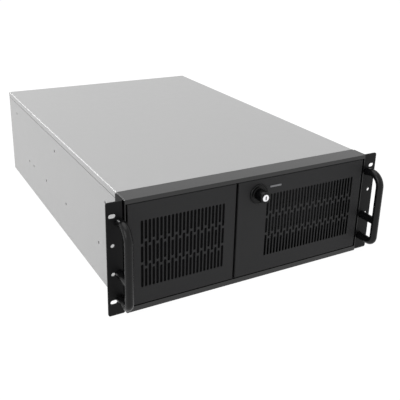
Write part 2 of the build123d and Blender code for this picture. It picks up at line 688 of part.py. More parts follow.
def make_front_panel():
    """The steel wall behind the doors: bay opening, fan opening and control opening."""
    inner = INNER_HALF
    skin = [(-inner, PANEL_BACK_Y + 14), (-inner, PANEL_Y), (inner, PANEL_Y), (inner, PANEL_BACK_Y + 14)]
    panel = along_z(folded_profile(skin, 1), SHEET, WALL_TOP_Z - SHEET)
    upper = folded_profile([(PANEL_Y, WALL_TOP_Z - SHEET), (PANEL_Y, TOP_INSIDE),
                            (PANEL_BACK_Y + 16, TOP_INSIDE)], -1)
    panel = panel + along_x(upper, -LEDGE_X + SEAT_GAP, LEDGE_X - SEAT_GAP) - corner_reliefs()
    cut_y = (PANEL_Y - 1, PANEL_BACK_Y + 1)
    bays = block(BAY_X - BAY_WIDTH / 2, BAY_X + BAY_WIDTH / 2, *cut_y, BAY_BOTTOM_Z, BAYS_TOP_Z)
    half_width, half_height = CONTROL_WIDTH / 2 - 5, CONTROL_HEIGHT / 2 - 5
    control = block(CONTROL_X - half_width, CONTROL_X + half_width, *cut_y,
                    CONTROL_Z - half_height, CONTROL_Z + half_height)
    fan = rod_y(FRONT_FAN / 2 - FAN_FRAME_CLEARANCE, *cut_y, LEFT_DOOR_MIDDLE, SLOT_FIELD_Z, DUCT_SIDES, True)
    return panel - [bays, control, fan]


def fan_hole_places(size, x, z):
    """Where a fan's four screws are, as (x, z)."""
    half = FAN_HOLE_SPACING[size] / 2
    return [(x + side * half, z + rise * half) for side in (-1, 1) for rise in (-1, 1)]


def make_fan_frame(size, x, z, front_y):
    """A square fan frame with a round duct, four struts, a motor seat and its shaft."""
    place = Pos(x, z)
    radius = size / 2 - FAN_FRAME_CLEARANCE
    back_y = front_y + FAN_DEPTH
    outline = chamfer(Rectangle(size, size).vertices(), 2.5) - disc(radius, DUCT_SIDES, True)
    hub = size * HUB_SHARE
    struts = join([Rot(0, 0, 45 + 90 * turn) * Pos(radius / 2, 0) * Rectangle(radius + 1, 3.0)
                   for turn in range(4)])
    struts = struts + disc(hub, PLAIN_SIDES)
    frame = along_y(place * outline, front_y, back_y) + along_y(place * struts, back_y - 3.0, back_y)
    return frame + rod_y(FAN_SHAFT_RADIUS, front_y + 6.0, back_y - 3.0, x, z)


def make_fan_rotor(size, x, z, front_y):
    """A hub cup with seven pitched blades, bored for the shaft."""
    radius = size / 2 - FAN_FRAME_CLEARANCE - 1.2
    hub = size * HUB_SHARE
    depth = FAN_DEPTH - 3.0 - 2.5
    pitch = math.radians(BLADE_PITCH)
    chord = (depth - BLADE_THICKNESS * math.cos(pitch)) / math.sin(pitch)
    half_sweep = (chord * math.cos(pitch) + BLADE_THICKNESS * math.sin(pitch)) / 2
    reach = math.sqrt(radius ** 2 - half_sweep ** 2)
    section = Rot(0, 0, 90 - BLADE_PITCH) * Rectangle(BLADE_THICKNESS, chord)
    blade = extrude(Plane.YZ.offset(hub * 0.5) * section, amount=reach - hub * 0.5)
    blades = join([Rot(0, 0, 360 / FAN_BLADES * turn) * blade for turn in range(FAN_BLADES)])
    cup = extrude(disc(hub, 2 * FAN_BLADES), amount=depth / 2, both=True)
    bore = extrude(disc(FAN_SHAFT_RADIUS + PIN_RUNNING, PLAIN_SIDES, True), amount=depth, both=True)
    rotor = cup + (blades & Cylinder(2 * radius, depth)) - bore
    return Pos(x, front_y + 1.0 + depth / 2, z) * Rot(90, 0, 0) * rotor


def make_fan_guard(size, x, z, front_y):
    """A flat guard: a ring on crossed bars, with an eye at each screw."""
    ring = size * GUARD_RING_SHARE
    outline = disc(ring, PLAIN_SIDES) - disc(ring - 2 * GUARD_WIRE, PLAIN_SIDES)
    bar = Rectangle(FAN_HOLE_SPACING[size] * math.sqrt(2), GUARD_WIRE)
    outline = outline + Rot(0, 0, 45) * bar + Rot(0, 0, -45) * bar
    for hx, hz in fan_hole_places(size, 0, 0):
        outline = outline + Pos(hx, hz) * disc(GUARD_EYE_RADIUS, HEAD_SIDES)
    return along_y(Pos(x, z) * outline, front_y, front_y + GUARD_WIRE)


def make_fan_screws():
    """All the screws that hold the three fans and their guards."""
    fans = [(FRONT_FAN, LEFT_DOOR_MIDDLE, SLOT_FIELD_Z, PANEL_Y - GUARD_WIRE, -2.2)]
    fans += [(REAR_FAN, x, REAR_FAN_Z, BODY_DEPTH + GUARD_WIRE, 2.2) for x in REAR_FAN_X]
    return group([screw_head(3.8, height, hx, seat_y, hz)
                  for size, x, z, seat_y, height in fans for hx, hz in fan_hole_places(size, x, z)])


def make_bay_cage():
    """The cage for three 5.25 inch bays, on two feet that are folded out on the floor."""
    left, right = BAY_X - BAY_WIDTH / 2, BAY_X + BAY_WIDTH / 2
    foot = 10.0
    skin = [(left - foot, SHEET), (left, SHEET), (left, BAYS_TOP_Z), (right, BAYS_TOP_Z),
            (right, SHEET), (right + foot, SHEET)]
    cage = along_y(folded_profile(skin, 1), PANEL_BACK_Y, PANEL_BACK_Y + BAY_CAGE_DEPTH)
    shelf = block(left, right, PANEL_BACK_Y, PANEL_BACK_Y + BAY_CAGE_DEPTH,
                  BAY_BOTTOM_Z - SHEET, BAY_BOTTOM_Z)
    return cage + shelf


def make_bay_cover(place):
    """A blanking cover: a face over the opening and a skirt inside it."""
    gap = 0.4
    z0 = BAY_BOTTOM_Z + BAY_HEIGHT * place
    left, right = BAY_X - BAY_WIDTH / 2, BAY_X + BAY_WIDTH / 2
    face = block(left - 1.5, right + 1.5, PANEL_Y - BAY_COVER_FACE, PANEL_Y, z0 + gap / 2,
                 z0 + BAY_HEIGHT - gap / 2)
    rim = face.edges().group_by(Axis.Y)[0]
    face = chamfer(rim, 0.6)
    inset = 1.8
    skirt_end = PANEL_Y + 12.0
    skirt = block(left + gap, right - gap, PANEL_Y, skirt_end, z0 + gap, z0 + BAY_HEIGHT - gap)
    hollow = block(left + gap + inset, right - gap - inset, PANEL_Y, skirt_end + 1,
                   z0 + gap + inset, z0 + BAY_HEIGHT - gap - inset)
    return face + (skirt - hollow)


def make_disk_cage():
    """The open channel for 3.5 inch drives behind the front fan, with slots in both walls."""
    left, right = LEFT_DOOR_MIDDLE - DISK_CAGE_WIDTH / 2, LEFT_DOOR_MIDDLE + DISK_CAGE_WIDTH / 2
    foot = 10.0
    skin = [(left - foot, SHEET), (left, SHEET), (left, DISK_CAGE_HEIGHT), (right, DISK_CAGE_HEIGHT),
            (right, SHEET), (right + foot, SHEET)]
    cage = along_y(folded_profile(skin, 1), DISK_CAGE_Y, DISK_CAGE_Y + DISK_CAGE_DEPTH)
    slot = Rectangle(28.0, 4.2)
    cuts = []
    for row in range(DISK_ROWS):
        z = 20.0 + DISK_ROW_PITCH * row
        for y in (DISK_CAGE_Y + 35.0, DISK_CAGE_Y + 105.0):
            cuts.append(along_x(Pos(y, z) * slot, left - SHEET - 1, right + SHEET + 1))
    return cage - cuts


def make_control_panel():
    """The moulded plate of the controls, with its button, lamp and socket openings and posts."""
    y0, y1 = CONTROL_FRONT_Y, PANEL_Y
    outline = Pos(CONTROL_X, CONTROL_Z) * Rectangle(CONTROL_WIDTH, CONTROL_HEIGHT)
    panel = along_y(chamfer(outline.vertices(), 2.0), y0, y1)
    for x, z in control_post_places():
        panel = panel + rod_y(2.5, y1, BOARD_Y, x, z, HIDDEN_SIDES)
    cuts = [rod_y(radius + BUTTON_RUNNING, y0 - 1, y1 + 1, CONTROL_X, z, BUTTON_SIDES, True)
            for radius, z in ((POWER_RADIUS, POWER_Z), (RESET_RADIUS, RESET_Z))]
    for x in lamp_places():
        cuts.append(rod_y(LAMP_RADIUS, y0 - 1, y1 + 1, x, LAMP_Z, LAMP_SIDES))
    for z in USB_Z:
        cuts.append(block(CONTROL_X - USB_WIDTH / 2, CONTROL_X + USB_WIDTH / 2, y0 - 1, y1 + 1,
                          z - USB_HEIGHT / 2, z + USB_HEIGHT / 2))
    return panel - cuts


def lamp_places():
    """The X of the power lamp and of the disk lamp."""
    return (CONTROL_X - 7.0, CONTROL_X + 7.0)


def control_post_places():
    """Where the posts for the control board stand, as (x, z)."""
    return [(CONTROL_X + side * 16.0, CONTROL_Z + rise * 50.0) for side in (-1, 1) for rise in (-1, 1)]


def make_control_board():
    """The circuit board behind the control panel."""
    half_width, half_height = CONTROL_WIDTH / 2 - 6, CONTROL_HEIGHT / 2 - 7
    return block(CONTROL_X - half_width, CONTROL_X + half_width, BOARD_Y, BOARD_Y + BOARD_THICKNESS,
                 CONTROL_Z - half_height, CONTROL_Z + half_height)


def make_button(radius, z):
    """A button: a domed cap in the panel, a collar behind it and a stem towards the board."""
    front = CONTROL_FRONT_Y - BUTTON_PROUD
    collar_y = PANEL_Y + SEAT_GAP
    cap = rod_y(radius, front, collar_y, CONTROL_X, z, BUTTON_SIDES)
    cap = chamfer(cap.edges().group_by(Axis.Y)[0], 0.7)
    collar = rod_y(radius + 1.6, collar_y, collar_y + 1.5, CONTROL_X, z, 8)
    stem = rod_y(1.5, collar_y + 1.5, BOARD_Y - BUTTON_TRAVEL - SEAT_GAP, CONTROL_X, z, HIDDEN_SIDES)
    return cap + collar + stem


def make_lamp(x):
    """A lamp lens that runs from the board to the face of the panel."""
    return rod_y(LAMP_RADIUS, CONTROL_FRONT_Y - 0.6, BOARD_Y, x, LAMP_Z, LAMP_SIDES)


def make_usb_port(z):
    """The metal shell and tongue of one USB socket."""
    wall = 0.4
    shell = block(CONTROL_X - USB_WIDTH / 2, CONTROL_X + USB_WIDTH / 2, CONTROL_FRONT_Y, BOARD_Y,
                  z - USB_HEIGHT / 2, z + USB_HEIGHT / 2)
    mouth = block(CONTROL_X - USB_WIDTH / 2 + wall, CONTROL_X + USB_WIDTH / 2 - wall,
                  CONTROL_FRONT_Y - 1, BOARD_Y - wall, z - USB_HEIGHT / 2 + wall, z + USB_HEIGHT / 2 - wall)
    tongue = block(CONTROL_X - 4.5, CONTROL_X + 4.5, CONTROL_FRONT_Y + 1, BOARD_Y - wall, z, z + 1.6)
    return shell - mouth + tongue


def supply_screw_places():
    """The four power supply screws, turned with the supply that stands on its side, as (x, z)."""
    left, bottom = SUPPLY_X - 43.0, SUPPLY_Z + SUPPLY_HEIGHT / 2 - 75.0
    return [(left + 16.0, bottom + 6.0), (left + 80.0, bottom + 6.0),
            (left + 80.0, bottom + 144.0), (left + 6.0, bottom + 120.0)]


def make_rear_panel():
    """The back wall with its openings, folded forwards at the sides, the top and the bottom."""
    inner = INNER_HALF
    fold_y = REAR_INSIDE_Y - 12.0
    skin = [(inner, fold_y), (inner, BODY_DEPTH), (-inner, BODY_DEPTH), (-inner, fold_y)]
    panel = along_z(folded_profile(skin, 1), SHEET, WALL_TOP_Z - SHEET)
    upper = folded_profile([(BODY_DEPTH, WALL_TOP_Z - SHEET), (BODY_DEPTH, TOP_INSIDE),
                            (fold_y, TOP_INSIDE)], 1)
    panel = panel + along_x(upper, -LEDGE_X + SEAT_GAP, LEDGE_X - SEAT_GAP) - corner_reliefs()
    cut_y = (REAR_INSIDE_Y - 1, BODY_DEPTH + 1)
    half_width = BOARD_OPENING_WIDTH / 2
    cuts = [block(BOARD_OPENING_X - half_width, BOARD_OPENING_X + half_width, *cut_y,
                  BOARD_OPENING_Z, BOARD_OPENING_Z + BOARD_OPENING_HEIGHT),
            block(SUPPLY_X - SUPPLY_WIDTH / 2 + 8, SUPPLY_X + SUPPLY_WIDTH / 2 - 8, *cut_y,
                  SUPPLY_Z + 9, SUPPLY_Z + SUPPLY_HEIGHT - 9)]
    for place, (x, z) in enumerate(supply_screw_places()):
        sides = None if place in SUPPLY_DATUM_HOLES else SPARE_HOLE_SIDES
        cuts.append(rod_y(SUPPLY_SCREW_RADIUS, *cut_y, x, z, sides, True))
    for x in CARD_X:
        cuts.append(block(x - CARD_OPENING_WIDTH / 2, x + CARD_OPENING_WIDTH / 2, *cut_y,
                          CARD_OPENING_Z, CARD_OPENING_Z + CARD_OPENING_HEIGHT))
    for x in REAR_FAN_X:
        cuts.append(rod_y(REAR_FAN / 2 - FAN_FRAME_CLEARANCE, *cut_y, x, REAR_FAN_Z, DUCT_SIDES, True))
    cuts += [rod_y(THUMB_SHANK_RADIUS, *cut_y, x, THUMB_Z, HIDDEN_SIDES) for x in thumb_places()]
    return panel - cuts


def card_screw_z():
    """The height of the slot cover screws."""
    return CARD_OPENING_Z + CARD_OPENING_HEIGHT + CARD_COVER_MARGIN / 2


def make_slot_cover(place):
    """A blank for one expansion slot, inside the back wall."""
    x = CARD_X[place]
    z0, z1 = CARD_OPENING_Z - 6.0, CARD_OPENING_Z + CARD_OPENING_HEIGHT + CARD_COVER_MARGIN
    return block(x - CARD_COVER_WIDTH / 2, x + CARD_COVER_WIDTH / 2,
                 REAR_INSIDE_Y - CARD_COVER_THICKNESS, REAR_INSIDE_Y, z0, z1)


def make_slot_screws():
    """One screw for each slot cover."""
    return group([screw_head(3.4, 2.0, x, BODY_DEPTH, card_screw_z()) for x in CARD_X])


def make_standoffs():
    """Nine hexagon standoffs for a full-size board, on the floor."""
    posts = [rod_z(STANDOFF_RADIUS, SHEET, SHEET + STANDOFF_HEIGHT, x, y, HEAD_SIDES)
             for x in STANDOFF_X for y in STANDOFF_Y]
    return group(posts)


def make_cross_brace():
    """A channel welded under the wall ledges, across the case."""
    half = BRACE_WIDTH / 2
    top = TOP_INSIDE - SHEET
    low = top - BRACE_HEIGHT
    skin = [(BRACE_Y - half, low), (BRACE_Y - half, top), (BRACE_Y + half, top), (BRACE_Y + half, low)]
    return along_x(folded_profile(skin, -1), -INNER_HALF + COVER_EDGE_RADIUS, INNER_HALF - COVER_EDGE_RADIUS)


def make_supply_stop():
    """The angle on the floor that the power supply stands against."""
    skin = [(SUPPLY_STOP_Y - 18.0, SHEET), (SUPPLY_STOP_Y, SHEET), (SUPPLY_STOP_Y, 26.0)]
    section = folded_profile(skin, 1)
    return along_x(section, SUPPLY_X - SUPPLY_WIDTH / 2, SUPPLY_X + SUPPLY_WIDTH / 2)


def make_all_parts():
    """Every node of the case, by name."""
    right_ear = make_right_ear()
    right_handle = make_right_handle()
    front_fan = (FRONT_FAN, LEFT_DOOR_MIDDLE, SLOT_FIELD_Z)
    parts = {
        "base_tray": make_base_tray(),
        "top_cover": make_cover(),
        "cover_thumbscrews": make_thumbscrews(),
        "front_frame": make_front_frame(),
        "front_frame_top": make_front_frame_top(),
        "front_panel": make_front_panel(),
        "rear_panel": make_rear_panel(),
        "right_ear": right_ear,
        "left_ear": mirrored(right_ear),
        "right_handle": right_handle,
        "left_handle": mirrored(right_handle),
        "handle_screws": make_handle_screws(),
        "ear_screws": make_ear_screws(),
        "left_door": make_left_door(),
        "right_door": make_right_door(),
        "door_hinge_pins": make_hinge_pins(),
        "centre_post": make_centre_post(),
        "door_magnets": make_door_magnets(),
        "lock_barrel": make_lock_barrel(),
        "lock_ring": make_lock_ring(),
        "lock_nut": make_lock_nut(),
        "lock_plug": make_lock_plug(),
        "lock_cam": make_lock_cam(),
        "cam_screw": make_cam_screw(),
        "filter_frame": make_filter_frame(),
        "filter_foam": make_filter_foam(),
        "filter_fixings": make_filter_fixings(),
        "front_fan_frame": make_fan_frame(*front_fan, PANEL_BACK_Y),
        "front_fan_rotor": make_fan_rotor(*front_fan, PANEL_BACK_Y),
        "front_fan_guard": make_fan_guard(*front_fan, PANEL_Y - GUARD_WIRE),
        "fan_screws": make_fan_screws(),
        "bay_cage": make_bay_cage(),
        "disk_cage": make_disk_cage(),
        "control_panel": make_control_panel(),
        "control_board": make_control_board(),
        "power_button": make_button(POWER_RADIUS, POWER_Z),
        "reset_button": make_button(RESET_RADIUS, RESET_Z),
        "power_lamp": make_lamp(lamp_places()[0]),
        "disk_lamp": make_lamp(lamp_places()[1]),
        "slot_cover_screws": make_slot_screws(),
        "board_standoffs": make_standoffs(),
        "cross_brace": make_cross_brace(),
        "supply_stop": make_supply_stop(),
    }
    for place in range(BAY_COUNT):
        parts[f"bay_cover_{place + 1}"] = make_bay_cover(place)
    for place, z in enumerate(USB_Z):
        parts[f"usb_port_{place + 1}"] = make_usb_port(z)
    for place in range(SLOT_COUNT):
        parts[f"slot_cover_{place + 1}"] = make_slot_cover(place)
    rear_frame_y = REAR_INSIDE_Y - FAN_DEPTH
    for side, x in zip(("left", "right"), REAR_FAN_X):
        fan = (REAR_FAN, x, REAR_FAN_Z)
        parts[f"rear_fan_frame_{side}"] = make_fan_frame(*fan, rear_frame_y)
        parts[f"rear_fan_rotor_{side}"] = make_fan_rotor(*fan, rear_frame_y)
    parts["rear_fan_guards"] = group([make_fan_guard(REAR_FAN, x, REAR_FAN_Z, BODY_DEPTH)
                                      for x in REAR_FAN_X])
    return parts


def main():
    """Move every node to the common origin and write it."""
    os.makedirs("parts", exist_ok=True)
    for name, shape in make_all_parts().items():
        export_step(Pos(0, ORIGIN_SHIFT_Y, 0) * shape, f"parts/{name}.step")


main()
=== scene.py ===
"""Looks of a four-unit rackmount server case with two vented front doors.

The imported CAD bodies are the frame, in metres: X to the right seen from the front, Y to the back and
Z up. Each class below dresses one sub-assembly: it gives CAD nodes their finishes and adds the small
pieces that the CAD leaves to the scene. Sizes that a maker would dimension are fields, in millimetres,
and places are read from the boxes and solids of the CAD nodes.
"""

import json
import logging
import math
from dataclasses import dataclass, field
from enum import Enum

import bmesh
import bpy
from mathutils import Matrix, Vector


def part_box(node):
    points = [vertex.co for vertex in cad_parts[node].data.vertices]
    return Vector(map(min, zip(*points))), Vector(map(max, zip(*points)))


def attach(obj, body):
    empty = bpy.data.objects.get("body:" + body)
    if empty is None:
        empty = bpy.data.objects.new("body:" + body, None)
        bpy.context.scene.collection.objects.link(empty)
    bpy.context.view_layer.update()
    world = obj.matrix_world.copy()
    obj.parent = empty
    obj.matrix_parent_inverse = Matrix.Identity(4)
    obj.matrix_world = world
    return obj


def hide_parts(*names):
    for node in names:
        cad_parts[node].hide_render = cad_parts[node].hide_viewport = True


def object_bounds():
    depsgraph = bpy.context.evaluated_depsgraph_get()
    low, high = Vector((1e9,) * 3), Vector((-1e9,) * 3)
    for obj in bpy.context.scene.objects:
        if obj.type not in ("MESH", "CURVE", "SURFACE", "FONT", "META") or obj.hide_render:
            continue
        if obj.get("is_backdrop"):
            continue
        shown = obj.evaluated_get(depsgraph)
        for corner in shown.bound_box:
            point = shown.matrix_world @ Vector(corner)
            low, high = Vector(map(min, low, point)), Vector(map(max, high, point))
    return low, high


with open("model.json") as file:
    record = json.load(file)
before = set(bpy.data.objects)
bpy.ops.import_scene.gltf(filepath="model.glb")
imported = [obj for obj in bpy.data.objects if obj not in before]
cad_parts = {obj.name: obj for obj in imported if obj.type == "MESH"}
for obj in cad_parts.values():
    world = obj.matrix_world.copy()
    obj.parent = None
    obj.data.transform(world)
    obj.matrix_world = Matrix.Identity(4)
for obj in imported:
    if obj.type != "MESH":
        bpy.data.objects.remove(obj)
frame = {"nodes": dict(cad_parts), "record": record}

MM = 0.001
MERGE = 1e-6
LOG = logging.getLogger("server_case")
Tree = bpy.types.NodeTree
Node = bpy.types.Node
Socket = bpy.types.NodeSocket
Shape = bmesh.types.BMesh


class Side(Enum):
    """A side of the case, seen from the front."""

    LEFT = "left"
    RIGHT = "right"


class Axis(Enum):
    """An axis of the case."""

    X = 0
    Y = 1
    Z = 2


class Facing(Enum):
    """Which way the heads in a set of screws look along their axis."""

    OUTWARD = "away from the middle of the case"
    BACKWARD = "towards the back"


def linear(hex_colour: str) -> tuple[float, float, float, float]:
    """Turn an sRGB hex colour into linear values.

    Args:
        hex_colour: Six hex digits, with or without a leading hash.

    Returns:
        Red, green, blue and an alpha of 1.
    """
    digits = hex_colour.lstrip("#")
    channels = [int(digits[place:place + 2], 16) / 255 for place in (0, 2, 4)]
    values = [c / 12.92 if c <= 0.04045 else ((c + 0.055) / 1.055) ** 2.4 for c in channels]
    return (values[0], values[1], values[2], 1.0)


def source_of(tree: Tree, value: object) -> object:
    """What feeds an input of a node.

    Args:
        tree: The shader or geometry tree.
        value: A plain value, a socket, a node that gives its first output, a sum such as
            ("ADD", 1.0, socket), or a point with a socket or a sum among its parts.

    Returns:
        The output socket, or the plain value as it is.
    """
    if isinstance(value, bpy.types.Node):
        return value.outputs[0]
    if not isinstance(value, tuple) or all(isinstance(part, (int, float)) for part in value):
        return value
    if isinstance(value[0], str):
        terms = dict(enumerate(value[1:]))
        return add_node(tree, "ShaderNodeMath", terms, operation=value[0]).outputs[0]
    return add_node(tree, "ShaderNodeCombineXYZ", dict(enumerate(value))).outputs[0]


def add_node(tree: Tree, kind: str, links: dict[str | int, object] | None = None, **settings: object) -> Node:
    """Add a node with its settings and links.

    Args:
        tree: The shader or geometry tree.
        kind: The node's type name.
        links: What feeds the node's inputs, by name or place, each as source_of takes it, and as a
            list where an input takes several.
        **settings: Properties of the node itself.

    Returns:
        The new node.
    """
    node = tree.nodes.new(kind)
    for name, value in settings.items():
        setattr(node, name, value)
    for name, value in (links or {}).items():
        for part in value if isinstance(value, list) else [value]:
            source = source_of(tree, part)
            if isinstance(source, bpy.types.NodeSocket):
                tree.links.new(source, node.inputs[name])
            else:
                node.inputs[name].default_value = source
    return node


def empty_tree(owner: bpy.types.Material | bpy.types.World) -> Tree:
    """The node tree of a material or world, without its first nodes."""
    owner.use_nodes = True
    owner.node_tree.nodes.clear()
    return owner.node_tree


@dataclass(frozen=True)
class Finish:
    """A finish with one even colour, which its kinds below give a pattern.

    The colour is an sRGB hex value, and shades are the shares of it between which a pattern varies.
    Spread is what the pattern takes from the roughness and what it adds. Grain, the size of the
    pattern, and depth, its height, are in millimetres. Without a grain there is no pattern.
    """

    name: str
    colour: str
    metallic: float = 0.0
    roughness: float = 0.5
    ior: float = 1.5
    coat: float = 0.0
    transmission: float = 0.0
    specular: float = 0.5
    grain: float = 0.0
    detail: float = 2.0
    shades: tuple[float, float] = (1.0, 1.0)
    spread: tuple[float, float] = (0.0, 0.0)
    depth: float = 0.0
    strength: float = 0.0

    def build(self) -> bpy.types.Material:
        """Make the material, or find it if it is already made."""
        known = bpy.data.materials.get(self.name)
        if known:
            return known
        material = bpy.data.materials.new(self.name)
        tree = empty_tree(material)
        links = {"Base Color": linear(self.colour), "Metallic": self.metallic, "Roughness": self.roughness,
                 "IOR": self.ior, "Specular IOR Level": self.specular, "Coat Weight": self.coat,
                 "Transmission Weight": self.transmission}
        if self.grain:
            links |= self.patterned(tree)
        shader = add_node(tree, "ShaderNodeBsdfPrincipled", links)
        add_node(tree, "ShaderNodeOutputMaterial", {"Surface": shader})
        return material

    def patterned(self, tree: Tree) -> dict[str, Socket]:
        """What the pattern feeds to the shader: its colour, its roughness and its relief."""
        shade, gloss, height = self.pattern(tree, add_node(tree, "ShaderNodeTexCoord").outputs["Object"])
        red, green, blue, _ = linear(self.colour)
        dark, light = ((red * share, green * share, blue * share, 1.0) for share in self.shades)
        mix = add_node(tree, "ShaderNodeMix", {0: shade, 6: dark, 7: light}, data_type="RGBA")
        links = {"Base Color": mix.outputs[2]}
        if any(self.spread):
            below, above = self.spread
            links["Roughness"] = add_node(tree, "ShaderNodeMapRange", {
                "Value": gloss, "To Min": max(0.02, self.roughness - below),
                "To Max": self.roughness + above}).outputs[0]
        if self.strength:
            links["Normal"] = add_node(tree, "ShaderNodeBump", {
                "Height": height, "Strength": self.strength, "Distance": self.depth * MM}).outputs[0]
        return links

    def pattern(self, tree: Tree, coords: object) -> tuple[Node, Node, Node]:
        """What varies the colour, the roughness and the height: here one noise for all three."""
        noise = add_node(tree, "ShaderNodeTexNoise", {
            "Vector": coords, "Scale": 1 / (self.grain * MM), "Detail": self.detail})
        return noise, noise, noise


@dataclass(frozen=True)
class PowderCoat(Finish):
    """Baked powder coat: a dark, even skin with a fine orange peel that breaks up its highlights.

    The peel is drawn at 1.4 mm, because the real 0.5 mm is too fine to show.
    """

    grain: float = 1.4
    detail: float = 3.0
    shades: tuple[float, float] = (0.88, 1.12)
    spread: tuple[float, float] = (0.06, 0.08)
    depth: float = 0.03
    strength: float = 0.5
    cloud: float = 111.1

    def pattern(self, tree: Tree, coords: object) -> tuple[Node, Node, Node]:
        """The peel, and for the colour a faint, wide cloud."""
        cloud = add_node(tree, "ShaderNodeTexNoise", {
            "Vector": coords, "Scale": 1 / (self.cloud * MM), "Detail": 2.0})
        _, gloss, height = super().pattern(tree, coords)
        return cloud, gloss, height


@dataclass(frozen=True)
class ZincSheet(Finish):
    """Galvanised sheet: pale and dull, with soft zinc crystals and a faint rolling grain."""

    grain: float = 0.9
    detail: float = 4.0
    shades: tuple[float, float] = (0.975, 1.025)
    spread: tuple[float, float] = (0.05, 0.06)
    depth: float = 0.01
    strength: float = 0.15
    spangle: float = 9.0
    warp: float = 16.667
    warp_reach: float = 6.0

    def pattern(self, tree: Tree, coords: object) -> tuple[Node, Node, Node]:
        """Crystals with ragged edges under a grain that is stretched along the depth of the case."""
        warp = add_node(tree, "ShaderNodeTexNoise", {
            "Vector": coords, "Scale": 1 / (self.warp * MM), "Detail": 2.0})
        offset = add_node(tree, "ShaderNodeVectorMath", {
            0: warp.outputs["Color"], 1: (self.warp_reach * MM,) * 3}, operation="MULTIPLY")
        moved = add_node(tree, "ShaderNodeVectorMath", {0: coords, 1: offset}, operation="ADD")
        cells = add_node(tree, "ShaderNodeTexVoronoi", {"Vector": moved, "Scale": 1 / (self.spangle * MM)})
        crystal = add_node(tree, "ShaderNodeSeparateColor", {"Color": cells.outputs["Color"]})
        long_way = add_node(tree, "ShaderNodeMapping", {"Vector": coords, "Scale": (1.0, 0.05, 1.0)})
        _, _, grain = super().pattern(tree, long_way)
        both = add_node(tree, "ShaderNodeMix", {0: 0.4, 2: crystal, 3: grain})
        return both, both, grain


@dataclass(frozen=True)
class TurnedMetal(Finish):
    """Plated or turned metal: bright, with fine tool marks that soften what it mirrors."""

    grain: float = 0.25
    shades: tuple[float, float] = (0.93, 1.05)
    spread: tuple[float, float] = (0.08, 0.1)


@dataclass(frozen=True)
class MouldedPlastic(Finish):
    """Injection moulding from a spark-eroded tool: a fine matt grain.

    The grit of the tool is drawn at 0.8 mm, because the real 0.2 mm is too fine to show.
    """

    grain: float = 0.8
    shades: tuple[float, float] = (0.9, 1.1)
    spread: tuple[float, float] = (0.05, 0.07)
    depth: float = 0.02
    strength: float = 0.35


@dataclass(frozen=True)
class OpenFoam(Finish):
    """Reticulated foam: a dull web of open pores, with painted shade in the pores."""

    grain: float = 1.6
    # The dark share is painted shade in the open pores; the threads between them are drawn paler
    shades: tuple[float, float] = (0.25, 1.5)
    depth: float = 0.6
    strength: float = 0.9

    def pattern(self, tree: Tree, coords: object) -> tuple[Node, Node, Node]:
        """Dark pits between the threads of the web: painted shade in the open pores."""
        pores = add_node(tree, "ShaderNodeTexVoronoi", {"Vector": coords, "Scale": 1 / (self.grain * MM)},
                         feature="DISTANCE_TO_EDGE")
        web = add_node(tree, "ShaderNodeMapRange", {"Value": pores, "From Max": 0.35, "To Min": 1.0,
                                                    "To Max": 0.0})
        return web, web, web


@dataclass(frozen=True)
class SolderMask(Finish):
    """Green solder mask over etched copper: glossy, with paler tracks under the mask."""

    grain: float = 5.2
    shades: tuple[float, float] = (0.85, 1.7)
    depth: float = 0.04
    strength: float = 0.6

    def pattern(self, tree: Tree, coords: object) -> tuple[Node, Node, Node]:
        """Square-cornered tracks, which come from the edges of a Chebychev cell pattern."""
        cells = add_node(tree, "ShaderNodeTexVoronoi", {"Vector": coords, "Scale": 1 / (self.grain * MM)},
                         distance="CHEBYCHEV")
        tracks = add_node(tree, "ShaderNodeMapRange", {"Value": cells, "From Min": 0.36, "From Max": 0.42})
        return tracks, tracks, tracks


# Galvanised steel reads as pale, flat grey: it mirrors only a soft blur of the studio
COVER_ZINC = ZincSheet("galvanised_steel_cover", "#ACACAC", metallic=0.35, roughness=0.42)
TRAY_ZINC = ZincSheet("galvanised_steel_tray", "#AEAEAE", metallic=0.35, roughness=0.46)
INNER_ZINC = ZincSheet("galvanised_steel_inside", "#8E9092", metallic=0.45, roughness=0.55)
# Powder coat is near black: its matting agent mirrors little face on, and more at a low angle,
# so only that sheen tells top, front and edge apart
DOOR_COAT = PowderCoat("powder_coat_doors", "#1E1E1F", roughness=0.6, specular=0.28)
FRAME_COAT = PowderCoat("powder_coat_frame", "#141415", roughness=0.3, specular=0.5)
EAR_COAT = PowderCoat("powder_coat_ears", "#0E0E0F", roughness=0.55, specular=0.16)
# Stoved enamel is smoother and blacker than the sheet, and carries thin bright streaks
BAR_ENAMEL = PowderCoat("stoved_enamel_handles", "#0D0D0E", roughness=0.26, grain=3.0, depth=0.01,
                        specular=0.22)
LOCK_ENAMEL = PowderCoat("zinc_casting_black", "#060607", roughness=0.28, grain=2.0, depth=0.01,
                         specular=0.2)
# Turned and plated metal is the only thing that glints, at the lock, the screws and the sockets
LOCK_CHROME = TurnedMetal("chrome_plated_brass", "#F2F2F4", metallic=1.0, roughness=0.16)
# The key slot's wafers are drawn dark: their metal under painted shade deep in the keyway
KEYWAY_DARK = TurnedMetal("key_slot_wafers", "#2A2926", metallic=0.6, roughness=0.5)
ZINC_SCREW = TurnedMetal("zinc_plated_screws", "#B9BBC0", metallic=0.9, roughness=0.32)
BLACK_SCREW = TurnedMetal("black_oxide_screws", "#1B1B1D", metallic=0.6, roughness=0.45)
TURNED_STEEL = TurnedMetal("turned_steel_pins", "#A3A5A8", metallic=1.0, roughness=0.3)
NICKEL = TurnedMetal("nickel_plated_magnets", "#B7B4AE", metallic=1.0, roughness=0.22)
TURNED_BRASS = TurnedMetal("turned_brass_standoffs", "#C39A4E", metallic=1.0, roughness=0.3)
TINNED_SHELL = TurnedMetal("tinned_socket_shells", "#BFC1C3", metallic=1.0, roughness=0.28)
BADGE_METAL = TurnedMetal("anodised_aluminium_badge", "#77777A", metallic=0.4, roughness=0.4, grain=0.6)
